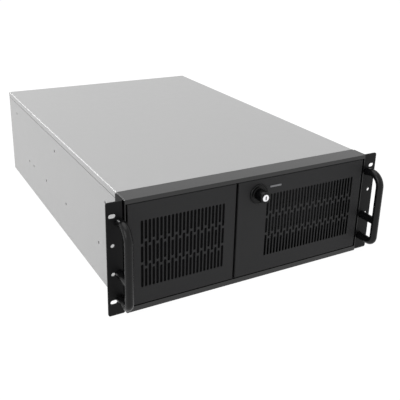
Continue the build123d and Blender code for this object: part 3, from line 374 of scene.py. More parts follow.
# Moulded plastic is dull and dark behind the doors, so that the slots read as black
FAN_PLASTIC = MouldedPlastic("glass_filled_nylon_fans", "#19191A", roughness=0.5)
BAY_PLASTIC = MouldedPlastic("abs_bay_covers", "#0E0E0F", roughness=0.58, specular=0.2)
PANEL_PLASTIC = MouldedPlastic("abs_control_panel", "#1C1C1D", roughness=0.55)
BUTTON_PLASTIC = MouldedPlastic("polished_abs_buttons", "#34353A", roughness=0.22, coat=0.3)
LABEL_PAPER = MouldedPlastic("bare_fan_labels", "#8E9094", roughness=0.45, grain=3.0)
FILTER_FOAM = OpenFoam("reticulated_filter_foam", "#0B0B0C", roughness=0.95, specular=0.1)
# Mask and lenses give the eye its few spots of colour once a door is open
BOARD_MASK = SolderMask("solder_mask_board", "#1C5A34", roughness=0.25, coat=0.3)
GREEN_LENS = Finish("green_acrylic_lens", "#7CCB86", roughness=0.12, transmission=0.5)
AMBER_LENS = Finish("amber_acrylic_lens", "#E0A050", roughness=0.12, transmission=0.5)


def dress_nodes(finishes: dict[Finish, list[str]]) -> None:
    """Give CAD nodes their finishes, from the names of the nodes that each finish is for."""
    for finish, nodes in finishes.items():
        for node in nodes:
            obj = frame["nodes"][node]
            material = finish.build()
            if not obj.material_slots:
                obj.data.materials.append(material)
            for slot in obj.material_slots:
                slot.material = material
            LOG.info("%s: %s", node, finish.name)


def body_of(node: str) -> str:
    """The body that a CAD node rides on."""
    for body, nodes in frame["record"]["behaviour"]["bodies"].items():
        if node in nodes:
            return body
    raise KeyError(node)


def box_of(node: str) -> tuple[Vector, Vector]:
    """Lowest and highest corner of a CAD node, in metres."""
    low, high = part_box(node)
    return Vector(low), Vector(high)


def solids_of(node: str) -> list[tuple[Vector, Vector]]:
    """The box of each separate solid in a CAD node.

    Args:
        node: The node's name.

    Returns:
        Lowest and highest corner of each solid, from left to right, then from front to back and up.
    """
    mesh = bmesh.new()
    mesh.from_mesh(frame["nodes"][node].data)
    bmesh.ops.remove_doubles(mesh, verts=mesh.verts, dist=MERGE)
    boxes = []
    waiting = set(mesh.verts)
    while waiting:
        reached = [waiting.pop()]
        for vert in reached:
            for edge in vert.link_edges:
                other = edge.other_vert(vert)
                if other in waiting:
                    waiting.discard(other)
                    reached.append(other)
        spots = [vert.co for vert in reached]
        boxes.append(tuple(Vector([end(spot[axis] for spot in spots) for axis in range(3)])
                           for end in (min, max)))
    mesh.free()
    return sorted(boxes, key=lambda box: [round(value, 4) for value in box[0]])


def ride_and_slot(piece: bpy.types.Object, node: str) -> None:
    """Let a piece that is added ride with a CAD node's body."""
    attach(piece, body_of(node))


def stand_in_for(piece: bpy.types.Object, node: str) -> None:
    """Let a detailed piece take the place of a CAD node."""
    ride_and_slot(piece, node)
    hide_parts(node)


def tree_values(sizes: object) -> dict[str, object]:
    """The numbers of a sub-assembly as values for a tree's inputs: lengths in metres, counts as they are."""
    return {name.replace("_", " ").title(): value * MM if isinstance(value, float) else value
            for name, value in vars(sizes).items() if isinstance(value, (int, float))}


def link_object(name: str, data: bpy.types.ID) -> bpy.types.Object:
    """Put a mesh, a lamp or a camera into the scene, at the origin."""
    obj = bpy.data.objects.new(name, data)
    bpy.context.scene.collection.objects.link(obj)
    return obj


def mesh_of(name: str, shape: Shape) -> bpy.types.Mesh:
    """Turn a bmesh into a mesh."""
    mesh = bpy.data.meshes.new(name)
    shape.to_mesh(mesh)
    shape.free()
    return mesh


def from_bmesh(name: str, shape: Shape, finish: Finish) -> bpy.types.Object:
    """Turn a bmesh into an object, smooth where its faces meet at less than 32 degrees."""
    bmesh.ops.recalc_face_normals(shape, faces=shape.faces)
    mesh = mesh_of(name, shape)
    mesh.shade_smooth()
    mesh.set_sharp_from_angle(angle=math.radians(32.0))
    mesh.materials.append(finish.build())
    return link_object(name, mesh)


def skin(rows: list[list[Vector]], ring: bool = False, first: bool = False, last: bool = False) -> Shape:
    """Skin a row of closed loops of points.

    Args:
        rows: The points of each loop. A loop of one point closes the skin there.
        ring: Whether the last loop is joined to the first.
        first: Whether the first loop is filled by a face.
        last: Whether the last loop is filled by a face.

    Returns:
        The shape.
    """
    shape = bmesh.new()
    loops = [[shape.verts.new(spot) for spot in row] for row in rows]
    for lower, upper in zip(loops, loops[1:] + loops[:1] if ring else loops[1:]):
        for side in range(max(len(lower), len(upper))):
            after = side + 1
            corners = [lower[side % len(lower)], lower[after % len(lower)], upper[after % len(upper)],
                       upper[side % len(upper)]]
            unique = list(dict.fromkeys(corners))
            if len(unique) > 2:
                shape.faces.new(unique)
    for wanted, loop in ((first, loops[0]), (last, loops[-1])):
        if wanted:
            shape.faces.new(loop)
    return shape


def round_steps(sides: int) -> list[float]:
    """The angles of the points round a circle."""
    return [math.tau * side / sides for side in range(sides)]


def lathe(rings: list[tuple[float, float]], centre: Vector, axis: Vector, sides: int = 64) -> Shape:
    """Turn a profile round an axis.

    Args:
        rings: Radius and height of each ring, in millimetres, in order along the skin.
        centre: Where the axis has height 0, in metres.
        axis: The direction of the axis.
        sides: Faces round the axis.

    Returns:
        The closed shape. A ring of radius 0 closes it with a point.
    """
    turn = axis.to_track_quat("Z", "Y").to_matrix()
    return skin([[centre + turn @ Vector((radius * MM * math.cos(a), radius * MM * math.sin(a), height * MM))
                  for a in round_steps(sides if radius else 1)] for radius, height in rings])


def rounded_plate(width: float, height: float, thickness: float, corner: float, bevel: float,
                  centre: Vector) -> Shape:
    """A thin plate that faces the front, with rounded corners and a softened rim.

    Args:
        width: Size along X in millimetres.
        height: Size along Z in millimetres.
        thickness: Size along Y in millimetres.
        corner: Corner radius in millimetres.
        bevel: Width of the softened rim in millimetres.
        centre: Middle of the back of the plate, in metres.

    Returns:
        The closed shape.
    """
    steps = 5
    rows = []
    for inset, y in ((0.0, 0.0), (0.0, -thickness + bevel), (bevel * 0.3, -thickness + bevel * 0.3),
                     (bevel, -thickness)):
        row = []
        for turn, (sx, sz) in enumerate(((1, 1), (-1, 1), (-1, -1), (1, -1))):
            for step in range(steps + 1):
                angle = math.pi / 2 * (turn + step / steps)
                x = sx * (width / 2 - corner) + (corner - inset) * math.cos(angle)
                z = sz * (height / 2 - corner) + (corner - inset) * math.sin(angle)
                row.append(centre + Vector((x, y, z)) * MM)
        rows.append(row)
    return skin(rows, first=True, last=True)


@dataclass
class NodeRecipe:
    """A Geometry Nodes tree with named inputs, applied to a carrier mesh and turned into plain mesh."""

    name: str
    tree: Tree = field(init=False)
    start: Node = field(init=False)

    def __post_init__(self) -> None:
        """Make the tree with its geometry input and output."""
        self.tree = bpy.data.node_groups.new(self.name, "GeometryNodeTree")
        for way in ("INPUT", "OUTPUT"):
            self.tree.interface.new_socket("Geometry", in_out=way, socket_type="NodeSocketGeometry")

    def inputs(self, defaults: dict[str, object]) -> dict[str, Socket]:
        """Add the named inputs of the tree.

        Args:
            defaults: Each input's default, by name: a length in metres, a count, or a point in metres.

        Returns:
            The output sockets of the tree's input node, by name.
        """
        kinds = {float: "NodeSocketFloat", int: "NodeSocketInt", tuple: "NodeSocketVector"}
        for name, value in defaults.items():
            socket = self.tree.interface.new_socket(name, in_out="INPUT", socket_type=kinds[type(value)])
            socket.default_value = value
        self.tree.interface.new_socket("Material", in_out="INPUT", socket_type="NodeSocketMaterial")
        self.start = add_node(self.tree, "NodeGroupInput")
        return {socket.name: socket for socket in self.start.outputs if socket.name}

    def close(self, geometry: object, smooth_below: float = 32.0) -> None:
        """End the tree: real geometry, smooth below an angle in degrees, with its material."""
        tree = self.tree
        real = add_node(tree, "GeometryNodeRealizeInstances", {"Geometry": geometry})
        smooth = add_node(tree, "GeometryNodeSetShadeSmooth", {"Geometry": real, "Shade Smooth": True})
        angle = add_node(tree, "GeometryNodeInputMeshEdgeAngle")
        sharp = add_node(tree, "FunctionNodeCompare", {0: angle, 1: math.radians(smooth_below)},
                         data_type="FLOAT", operation="GREATER_THAN")
        edges = add_node(tree, "GeometryNodeSetShadeSmooth", {
            "Geometry": smooth, "Selection": sharp, "Shade Smooth": False}, domain="EDGE")
        painted = add_node(tree, "GeometryNodeSetMaterial", {
            "Geometry": edges, "Material": self.start.outputs["Material"]})
        add_node(tree, "NodeGroupOutput", {"Geometry": painted})

    def make(self, name: str, carrier: bpy.types.Mesh, values: dict[str, object],
             finish: Finish) -> bpy.types.Object:
        """Run the tree on a carrier mesh.

        Args:
            name: The name of the finished piece.
            carrier: The mesh of points or lines that the tree works on.
            values: Values for the named inputs, lengths and points in metres.
            finish: The finish of the piece.

        Returns:
            The finished piece as a plain mesh object.
        """
        holder = link_object(f"{name}_carrier", carrier)
        modifier = holder.modifiers.new(self.name, "NODES")
        modifier.node_group = self.tree
        wanted = dict(values, Material=finish.build())
        for item in self.tree.interface.items_tree:
            if item.in_out == "INPUT" and item.name in wanted:
                modifier[item.identifier] = wanted[item.name]
        holder.update_tag()
        bpy.context.view_layer.update()
        evaluated = holder.evaluated_get(bpy.context.evaluated_depsgraph_get())
        mesh = bpy.data.meshes.new_from_object(evaluated)
        mesh.name = name
        holder.modifiers.clear()
        bpy.data.objects.remove(holder)
        LOG.info("%s: %d faces", name, len(mesh.polygons))
        return link_object(name, mesh)


def point_carrier(name: str, spots: list[Vector], directions: list[Vector]) -> bpy.types.Mesh:
    """A mesh of loose points that carry a direction each, for a tree to set pieces on."""
    mesh = bpy.data.meshes.new(name)
    mesh.from_pydata([tuple(spot) for spot in spots], [], [])
    attribute = mesh.attributes.new("direction", "FLOAT_VECTOR", "POINT")
    for place, direction in enumerate(directions):
        attribute.data[place].vector = direction
    return mesh


def set_on_points(tree: Tree, points: Socket, piece: object, seed: int | None = None) -> Node:
    """Set a piece on each point, along the point's direction.

    Args:
        tree: The geometry tree.
        points: The points, which carry a direction each.
        piece: The piece, drawn upright at the origin.
        seed: Seed of a random turn about the direction, or None for no turn.

    Returns:
        The node that gives the instances.
    """
    aim = {"Vector": add_node(tree, "GeometryNodeInputNamedAttribute", {"Name": "direction"},
                              data_type="FLOAT_VECTOR")}
    if seed is not None:
        spin = add_node(tree, "FunctionNodeRandomValue", {"Min": 0.0, "Max": math.tau, "Seed": seed},
                        data_type="FLOAT")
        angle = next(socket for socket in spin.outputs if socket.type == "VALUE")
        aim["Rotation"] = add_node(tree, "FunctionNodeAxisAngleToRotation", {
            "Axis": (0.0, 0.0, 1.0), "Angle": angle})
    aligned = add_node(tree, "FunctionNodeAlignRotationToVector", aim, axis="Z")
    return add_node(tree, "GeometryNodeInstanceOnPoints", {
        "Points": points, "Instance": piece, "Rotation": aligned})


def cross_recess(tree: Tree, body: object, arm: object, width: object, depth: object, top: object) -> Node:
    """Cut a cross into the top of a screw head.

    Args:
        tree: The geometry tree.
        body: The head.
        arm: Length of each arm from tip to tip.
        width: Width of an arm.
        depth: Depth of the recess.
        top: Height of the head's top.

    Returns:
        The node that gives the cut head.
    """
    blades = []
    for long, wide in ((arm, width), (width, arm)):
        blade = add_node(tree, "GeometryNodeMeshCube", {"Size": (long, wide, ("MULTIPLY", depth, 2.0))})
        blades.append(add_node(tree, "GeometryNodeTransform", {
            "Geometry": blade, "Translation": (0.0, 0.0, top)}))
    return add_node(tree, "GeometryNodeMeshBoolean", {
        "Mesh 1": body, "Mesh 2": add_node(tree, "GeometryNodeJoinGeometry", {0: blades}),
        "Self Intersection": True}, operation="DIFFERENCE", solver="EXACT")


def upright_rod(tree: Tree, sides: object, radius: object, low: object, length: object) -> Node:
    """A cylinder along Z from its low end, in metres."""
    rod = add_node(tree, "GeometryNodeMeshCylinder", {"Vertices": sides, "Radius": radius, "Depth": length})
    return add_node(tree, "GeometryNodeTransform", {
        "Geometry": rod, "Translation": (0.0, 0.0, ("MULTIPLY_ADD", length, 0.5, low))})


def screw_recipe() -> NodeRecipe:
    """A tree that sets cross-recessed pan heads on points."""
    rim_drop, arm_share = 0.55, 1.1
    recipe = NodeRecipe("pan_head_screws")
    size = recipe.inputs({"Head Radius": 0.0035, "Head Height": 0.002, "Recess Width": 0.0009,
                          "Recess Depth": 0.001, "Sides": 24})
    tree, radius, height = recipe.tree, size["Head Radius"], size["Head Height"]
    head = add_node(tree, "GeometryNodeMeshCylinder", {
        "Vertices": size["Sides"], "Fill Segments": 5, "Radius": radius, "Depth": height})
    spot = add_node(tree, "GeometryNodeInputPosition")
    x, y, z = add_node(tree, "ShaderNodeSeparateXYZ", {0: spot}).outputs
    reach = add_node(tree, "ShaderNodeVectorMath", {0: (x, y, 0.0)}, operation="LENGTH").outputs["Value"]
    drop = ("MULTIPLY", ("POWER", ("DIVIDE", reach, radius), 3.0), height)
    top = add_node(tree, "FunctionNodeCompare", {0: z, 1: 0.0}, operation="GREATER_THAN")
    domed = add_node(tree, "GeometryNodeSetPosition", {
        "Geometry": head, "Selection": top, "Offset": (0.0, 0.0, ("MULTIPLY", drop, -rim_drop))})
    seated = add_node(tree, "GeometryNodeTransform", {
        "Geometry": domed, "Translation": (0.0, 0.0, ("MULTIPLY", height, 0.5))})
    cut = cross_recess(tree, seated, ("MULTIPLY", radius, arm_share), size["Recess Width"],
                       size["Recess Depth"], height)
    recipe.close(set_on_points(tree, size["Geometry"], cut, 3), 40.0)
    return recipe


@dataclass
class ScrewSet:
    """One node of pan-head screws that share a size and lie along one axis.

    The recess is given in shares of the head's radius and height.
    """

    node: str
    finish: Finish = ZINC_SCREW
    slot: str = "screw_steel"
    axis: Axis = Axis.Y
    facing: Facing = Facing.OUTWARD
    recess_width: float = 0.26
    recess_depth: float = 0.55

    def build(self, recipe: NodeRecipe) -> None:
        """Replace the node's plain heads by domed and recessed ones of the same size and place."""
        spots, directions, radii, heights = [], [], [], []
        along = self.axis.value
        across = Axis.Y.value if self.axis is Axis.X else Axis.X.value
        for low, high in solids_of(self.node):
            seat = (low + high) / 2
            outward = self.facing is Facing.BACKWARD or seat[along] > 0
            seat[along] = low[along] if outward else high[along]
            direction = Vector((0.0, 0.0, 0.0))
            direction[along] = 1.0 if outward else -1.0
            spots.append(seat)
            directions.append(direction)
            radii.append((high[across] - low[across]) / 2)
            heights.append(high[along] - low[along])
        radius, height = max(radii), max(heights)
        values = {"Head Radius": radius, "Head Height": height, "Recess Width": radius * self.recess_width,
                  "Recess Depth": height * self.recess_depth}
        carrier = point_carrier(self.node, spots, directions)
        piece = recipe.make(f"{self.node}_recessed", carrier, values, self.finish)
        stand_in_for(piece, self.node)


@dataclass
class Thumbscrews:
    """The three knurled thumbscrews that clamp the cover's rear flange. Sizes in millimetres."""

    knob_radius: float = 5.5
    knob_length: float = 8.0
    collar_radius: float = 3.9
    collar_length: float = 1.2
    collar_sunk: float = 0.2
    shank_radius: float = 1.7
    ridges: int = 30
    ridge_depth: float = 0.35

    def recipe(self) -> NodeRecipe:
        """A tree that sets knurled knobs with a collar, a shank and a cross recess on points."""
        arm_share, width_share, depth_share = 0.95, 0.2, 1.6
        recipe = NodeRecipe("knurled_thumbscrews")
        size = recipe.inputs({**tree_values(self), "Shank Length": 0.006})
        tree, radius, top = recipe.tree, size["Knob Radius"], size["Knob Length"]
        collar_top, ridge = size["Collar Length"], size["Ridge Depth"]
        chamfer = ("MULTIPLY", ridge, 2.0)
        knob = upright_rod(tree, ("MULTIPLY", size["Ridges"], 2.0), radius, collar_top,
                           ("SUBTRACT", ("SUBTRACT", top, collar_top), chamfer))
        spot = add_node(tree, "GeometryNodeInputPosition")
        x, y, _ = add_node(tree, "ShaderNodeSeparateXYZ", {0: spot}).outputs
        outward = add_node(tree, "ShaderNodeVectorMath", {0: (x, y, 0.0)}, operation="NORMALIZE")
        odd = ("MODULO", add_node(tree, "GeometryNodeInputIndex"), 2.0)
        groove = add_node(tree, "ShaderNodeVectorMath", {
            0: outward, "Scale": ("MULTIPLY", ("MULTIPLY", odd, ridge), -1.0)}, operation="SCALE")
        knurled = add_node(tree, "GeometryNodeSetPosition", {"Geometry": knob, "Offset": groove})
        rim = ("SUBTRACT", radius, ridge)
        cone = add_node(tree, "GeometryNodeMeshCone", {
            "Vertices": 48, "Radius Top": ("SUBTRACT", rim, chamfer), "Radius Bottom": rim, "Depth": chamfer})
        cap = add_node(tree, "GeometryNodeTransform", {
            "Geometry": cone, "Translation": (0.0, 0.0, ("SUBTRACT", top, chamfer))})
        head = add_node(tree, "GeometryNodeMeshBoolean", {
            "Mesh 2": [knurled, cap], "Self Intersection": True}, operation="UNION", solver="EXACT")
        width = ("MULTIPLY", radius, width_share)
        cut = cross_recess(tree, head, ("MULTIPLY", radius, arm_share), width,
                           ("MULTIPLY", width, depth_share), top)
        collar = upright_rod(tree, 32, size["Collar Radius"], 0.0, ("ADD", collar_top, size["Collar Sunk"]))
        shank = upright_rod(tree, 20, size["Shank Radius"], ("MULTIPLY", size["Shank Length"], -1.0),
                            size["Shank Length"])
        whole = add_node(tree, "GeometryNodeJoinGeometry", {0: [cut, collar, shank]})
        recipe.close(set_on_points(tree, size["Geometry"], whole, 5), 25.0)
        return recipe

    def build(self) -> None:
        """Replace the plain thumbscrews by knurled ones of the same size and place."""
        spots = []
        for low, high in solids_of("cover_thumbscrews"):
            seat = high.y - self.knob_length * MM
            spots.append(Vector(((low.x + high.x) / 2, seat, (low.z + high.z) / 2)))
            values = {**tree_values(self), "Shank Length": seat - low.y}
        carrier = point_carrier("thumbscrews", spots, [Vector((0, 1, 0))] * len(spots))
        piece = self.recipe().make("knurled_thumbscrews", carrier, values, ZINC_SCREW)
        stand_in_for(piece, "cover_thumbscrews")


@dataclass
class PhotoCamera:
    """The camera at the photograph's viewing angle. Its place is from the middle of the ear plane."""

    place: tuple[float, float, float] = (-509.1, -723.5, 519.1)
    azimuth: float = -29.546
    elevation: float = 20.028
    roll: float = 0.026
    lens: float = 56.6
    sensor: float = 36.0
    shift: float = -0.1
    near: float = 0.01
    far: float = 50.0

    def build(self, ear_plane: float) -> None:
        """Set the camera up.

        Args:
            ear_plane: Y of the front face of the rack ears, in metres.
        """
        camera = bpy.data.cameras.new("photo_camera")
        camera.lens = self.lens
        camera.sensor_width = self.sensor
        camera.shift_y = self.shift
        camera.clip_start = self.near
        camera.clip_end = self.far
        obj = link_object("photo_camera", camera)
        azimuth, elevation = math.radians(self.azimuth), math.radians(self.elevation)
        forward = Vector((math.sin(-azimuth) * math.cos(elevation), math.cos(azimuth) * math.cos(elevation),
                          -math.sin(elevation)))
        right = forward.cross(Vector((0, 0, 1))).normalized()
        up = right.cross(forward)
        turned_right = right * math.cos(self.roll) + up * math.sin(self.roll)
        turned_up = up * math.cos(self.roll) - right * math.sin(self.roll)
        turn = Matrix((turned_right, turned_up, -forward)).transposed()
        spot = Vector(self.place) * MM + Vector((0, ear_plane, 0))
        obj.matrix_world = Matrix.Translation(spot) @ turn.to_4x4()
        bpy.context.scene.camera = obj


@dataclass
class SoftBox:
    """One soft studio lamp, aimed at the middle of the case. Lengths in metres, power in watts."""

    name: str
    place: tuple[float, float, float]
    size: float
    power: float
    aim: tuple[float, float, float] = (0.0, 0.0, 0.08)

    def build(self) -> None:
        """Set the lamp up."""
        lamp = bpy.data.lights.new(self.name, "AREA")
        lamp.shape = "DISK"
        lamp.size = self.size
        lamp.energy = self.power
        obj = link_object(self.name, lamp)
        obj.location = self.place
        obj.rotation_euler = (Vector(self.aim) - Vector(self.place)).to_track_quat("-Z", "Y").to_euler()


@dataclass
class Studio:
    """White floor and background, an even world and soft lamps. Lengths in metres."""

    world_level: float = 0.62
    horizon_level: float = 1.0
    floor_tone: str = "#EFEFEF"
    floor_glow: float = 0.9
    floor_lift: float = 1.07
    floor_half: float = 15.0
    floor_gap: float = 0.0002
    boxes: tuple[SoftBox, ...] = (
        SoftBox("overhead_box", (-0.4, 0.3, 2.6), 2.6, 26.0),
        SoftBox("left_box", (-2.8, -0.9, 1.3), 2.0, 24.0),
        SoftBox("front_right_box", (2.2, -2.2, 1.2), 1.8, 5.0),
        SoftBox("rear_left_strip", (-1.0, 2.5, 1.45), 0.7, 20.0),
    )

    def build(self) -> None:
        """Set up the world, the floor and the lamps."""
        self.build_world()
        self.build_floor()
        for box in self.boxes:
            box.build()

    def seen_straight(self, tree: Tree) -> Socket:
        """A factor of 1 for rays that show the background: from the camera, mirrored or through glass."""
        path = add_node(tree, "ShaderNodeLightPath").outputs
        direct = ("MAXIMUM", path["Is Camera Ray"], path["Is Glossy Ray"])
        return source_of(tree, ("MAXIMUM", direct, path["Is Transmission Ray"]))

    def build_world(self) -> None:
        """White where it is seen or mirrored, and an even grey light everywhere else."""
        world = bpy.data.worlds.new("studio_world")
        bpy.context.scene.world = world
        tree = empty_tree(world)
        light, seen = (add_node(tree, "ShaderNodeBackground", {"Color": (1, 1, 1, 1), "Strength": level})
                       for level in (self.world_level, self.horizon_level))
        mix = add_node(tree, "ShaderNodeMixShader", {0: self.seen_straight(tree), 1: light, 2: seen})
        add_node(tree, "ShaderNodeOutputWorld", {"Surface": mix})

    def build_floor(self) -> None:
        """A wide white floor that keeps a faint shadow of the case."""
        material = bpy.data.materials.new("white_paper_floor")
        tree = empty_tree(material)
        paper = add_node(tree, "ShaderNodeBsdfDiffuse", {"Color": linear(self.floor_tone)})
        glow = add_node(tree, "ShaderNodeEmission", {"Color": (1, 1, 1, 1), "Strength": self.floor_lift})
        share = ("MULTIPLY", self.seen_straight(tree), self.floor_glow)
        mix = add_node(tree, "ShaderNodeMixShader", {0: share, 1: paper, 2: glow})
        add_node(tree, "ShaderNodeOutputMaterial", {"Surface": mix})
        half = self.floor_half
        mesh = bpy.data.meshes.new("floor")
        corners = [(-half, -half, 0), (half, -half, 0), (half, half, 0), (-half, half, 0)]
        mesh.from_pydata(corners, [], [(0, 1, 2, 3)])
        mesh.materials.append(material)
        floor = link_object("floor", mesh)
        floor.location.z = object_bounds()[0][2] - self.floor_gap
        floor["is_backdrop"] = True


@dataclass
class Enclosure:
    """Tray, cover, panels, front frame and ears: the sheet-metal pieces, all dressed as CAD nodes."""

    slot_covers: int = 7
    bay_covers: int = 3

    def build(self) -> None:
        """Dress the sheet metal."""
        numbered = [f"slot_cover_{number + 1}" for number in range(self.slot_covers)]
        dress_nodes({
            TRAY_ZINC: ["base_tray", "rear_panel", *numbered],
            COVER_ZINC: ["top_cover"],
            FRAME_COAT: ["front_frame", "front_frame_top"],
            EAR_COAT: ["front_panel", "left_ear", "right_ear"],
            INNER_ZINC: ["centre_post", "cross_brace", "supply_stop", "bay_cage", "disk_cage"],
            TURNED_BRASS: ["board_standoffs"],
            BAY_PLASTIC: [f"bay_cover_{number + 1}" for number in range(self.bay_covers)],
        })


@dataclass
class SlotField:
    """Punched slots with round ends: tall, short, tall beside short, tall, short. Sizes in millimetres."""

    door: str
    columns: int
    first_x: float
    pitch: float = 6.0
    width: float = 4.0
    height: float = 105.7
    bridge: float = 3.3
    tall: float = 36.7
    short: float = 29.7
    middle_z: float = 89.2
    punch: float = 6.0

    def values(self) -> dict[str, object]:
        """The field's sizes for the tree, with the front of the door's sheet."""
        return {**tree_values(self), "Sheet Y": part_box(self.door)[0][1]}


@dataclass
class Doors:
    """The two vented doors with their pins, magnets, filter and the bare badge plate."""

    fields: tuple[SlotField, ...] = (
        SlotField("left_door", 23, -189.8),
        SlotField("right_door", 29, 21.8),
    )
    badge_width: float = 21.0
    badge_height: float = 3.0
    badge_thickness: float = 0.9
    badge_corner: float = 1.0
    badge_bevel: float = 0.3
    badge_x: float = 34.5
    badge_z: float = 154.4

    def recipe(self) -> NodeRecipe:
        """A tree that punches a staggered field of slots through a door sheet."""
        rows, end_share = 3.0, 0.499
        recipe = NodeRecipe("punched_slots")
        size = recipe.inputs(self.fields[0].values())
        tree, height, width = recipe.tree, size["Height"], size["Width"]
        middle_short, middle_tall = (
            ("SUBTRACT", height, ("MULTIPLY", ("ADD", size[outer], size["Bridge"]), 2.0))
            for outer in ("Tall", "Short"))
        start, end = ((0.0, 0.0, ("MULTIPLY", size["Punch"], share)) for share in (-0.5, 0.5))
        way = add_node(tree, "GeometryNodeCurvePrimitiveLine", {"Start": start, "End": end})
        punches = []
        # Join Geometry numbers its instances from the last link to the first
        for length in (size["Tall"], middle_short, size["Short"], middle_tall):
            outline = add_node(tree, "GeometryNodeCurvePrimitiveQuadrilateral", {
                "Width": width, "Height": length}, mode="RECTANGLE")
            rounded = add_node(tree, "GeometryNodeFilletCurve", {
                "Curve": outline, "Count": 7, "Radius": ("MULTIPLY", width, end_share)}, mode="POLY")
            punch = add_node(tree, "GeometryNodeCurveToMesh", {
                "Curve": way, "Profile Curve": rounded, "Fill Caps": True})
            punches.append(add_node(tree, "GeometryNodeGeometryToInstance", {0: punch}))
        index = add_node(tree, "GeometryNodeInputIndex")
        column = ("FLOOR", ("DIVIDE", index, rows))
        row = ("SUBTRACT", ("MODULO", index, rows), 1.0)
        odd = ("MODULO", column, 2.0)
        outer = ("ADD", size["Tall"], ("MULTIPLY", odd, ("SUBTRACT", size["Short"], size["Tall"])))
        reach = ("SUBTRACT", ("MULTIPLY", height, 0.5), ("MULTIPLY", outer, 0.5))
        spots = add_node(tree, "GeometryNodePoints", {
            "Count": ("MULTIPLY", size["Columns"], rows),
            "Position": (("ADD", size["First X"], ("MULTIPLY", column, size["Pitch"])), size["Sheet Y"],
                         ("ADD", size["Middle Z"], ("MULTIPLY", row, reach)))})
        kind = ("ADD", ("MULTIPLY", ("SUBTRACT", 1.0, odd), 2.0), ("ABSOLUTE", row))
        holes = add_node(tree, "GeometryNodeInstanceOnPoints", {
            "Points": spots, "Instance": add_node(tree, "GeometryNodeJoinGeometry", {0: punches}),
            "Pick Instance": True, "Instance Index": kind, "Rotation": (math.pi / 2, 0.0, 0.0)})
        cutters = add_node(tree, "GeometryNodeRealizeInstances", {"Geometry": holes})
        closed = add_node(tree, "GeometryNodeMergeByDistance", {
            "Geometry": size["Geometry"], "Distance": MERGE})
        cut = add_node(tree, "GeometryNodeMeshBoolean", {"Mesh 1": closed, "Mesh 2": cutters},
                       operation="DIFFERENCE", solver="MANIFOLD")
        recipe.close(cut, 5.0)
        return recipe

    def build(self) -> None:
        """Punch and dress the doors and add the badge plate."""
        recipe = self.recipe()
        for slots in self.fields:
            sheet = frame["nodes"][slots.door].data.copy()
            # The shading that came with the uncut faces would streak the cut ones
            for shading in {"custom_normal", "sharp_face", "sharp_edge"} & set(sheet.attributes.keys()):
                sheet.attributes.remove(sheet.attributes[shading])
            punched = recipe.make(f"{slots.door}_punched", sheet, slots.values(), DOOR_COAT)
            stand_in_for(punched, slots.door)
        dress_nodes({TURNED_STEEL: ["door_hinge_pins"], NICKEL: ["door_magnets"],
                     DOOR_COAT: ["filter_frame"], FILTER_FOAM: ["filter_foam"]})
        centre = Vector((self.badge_x * MM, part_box("right_door")[0][1], self.badge_z * MM))
        shape = rounded_plate(self.badge_width, self.badge_height, self.badge_thickness, self.badge_corner,
                              self.badge_bevel, centre)
        ride_and_slot(from_bmesh("bare_badge_plate", shape, BADGE_METAL), "right_door")


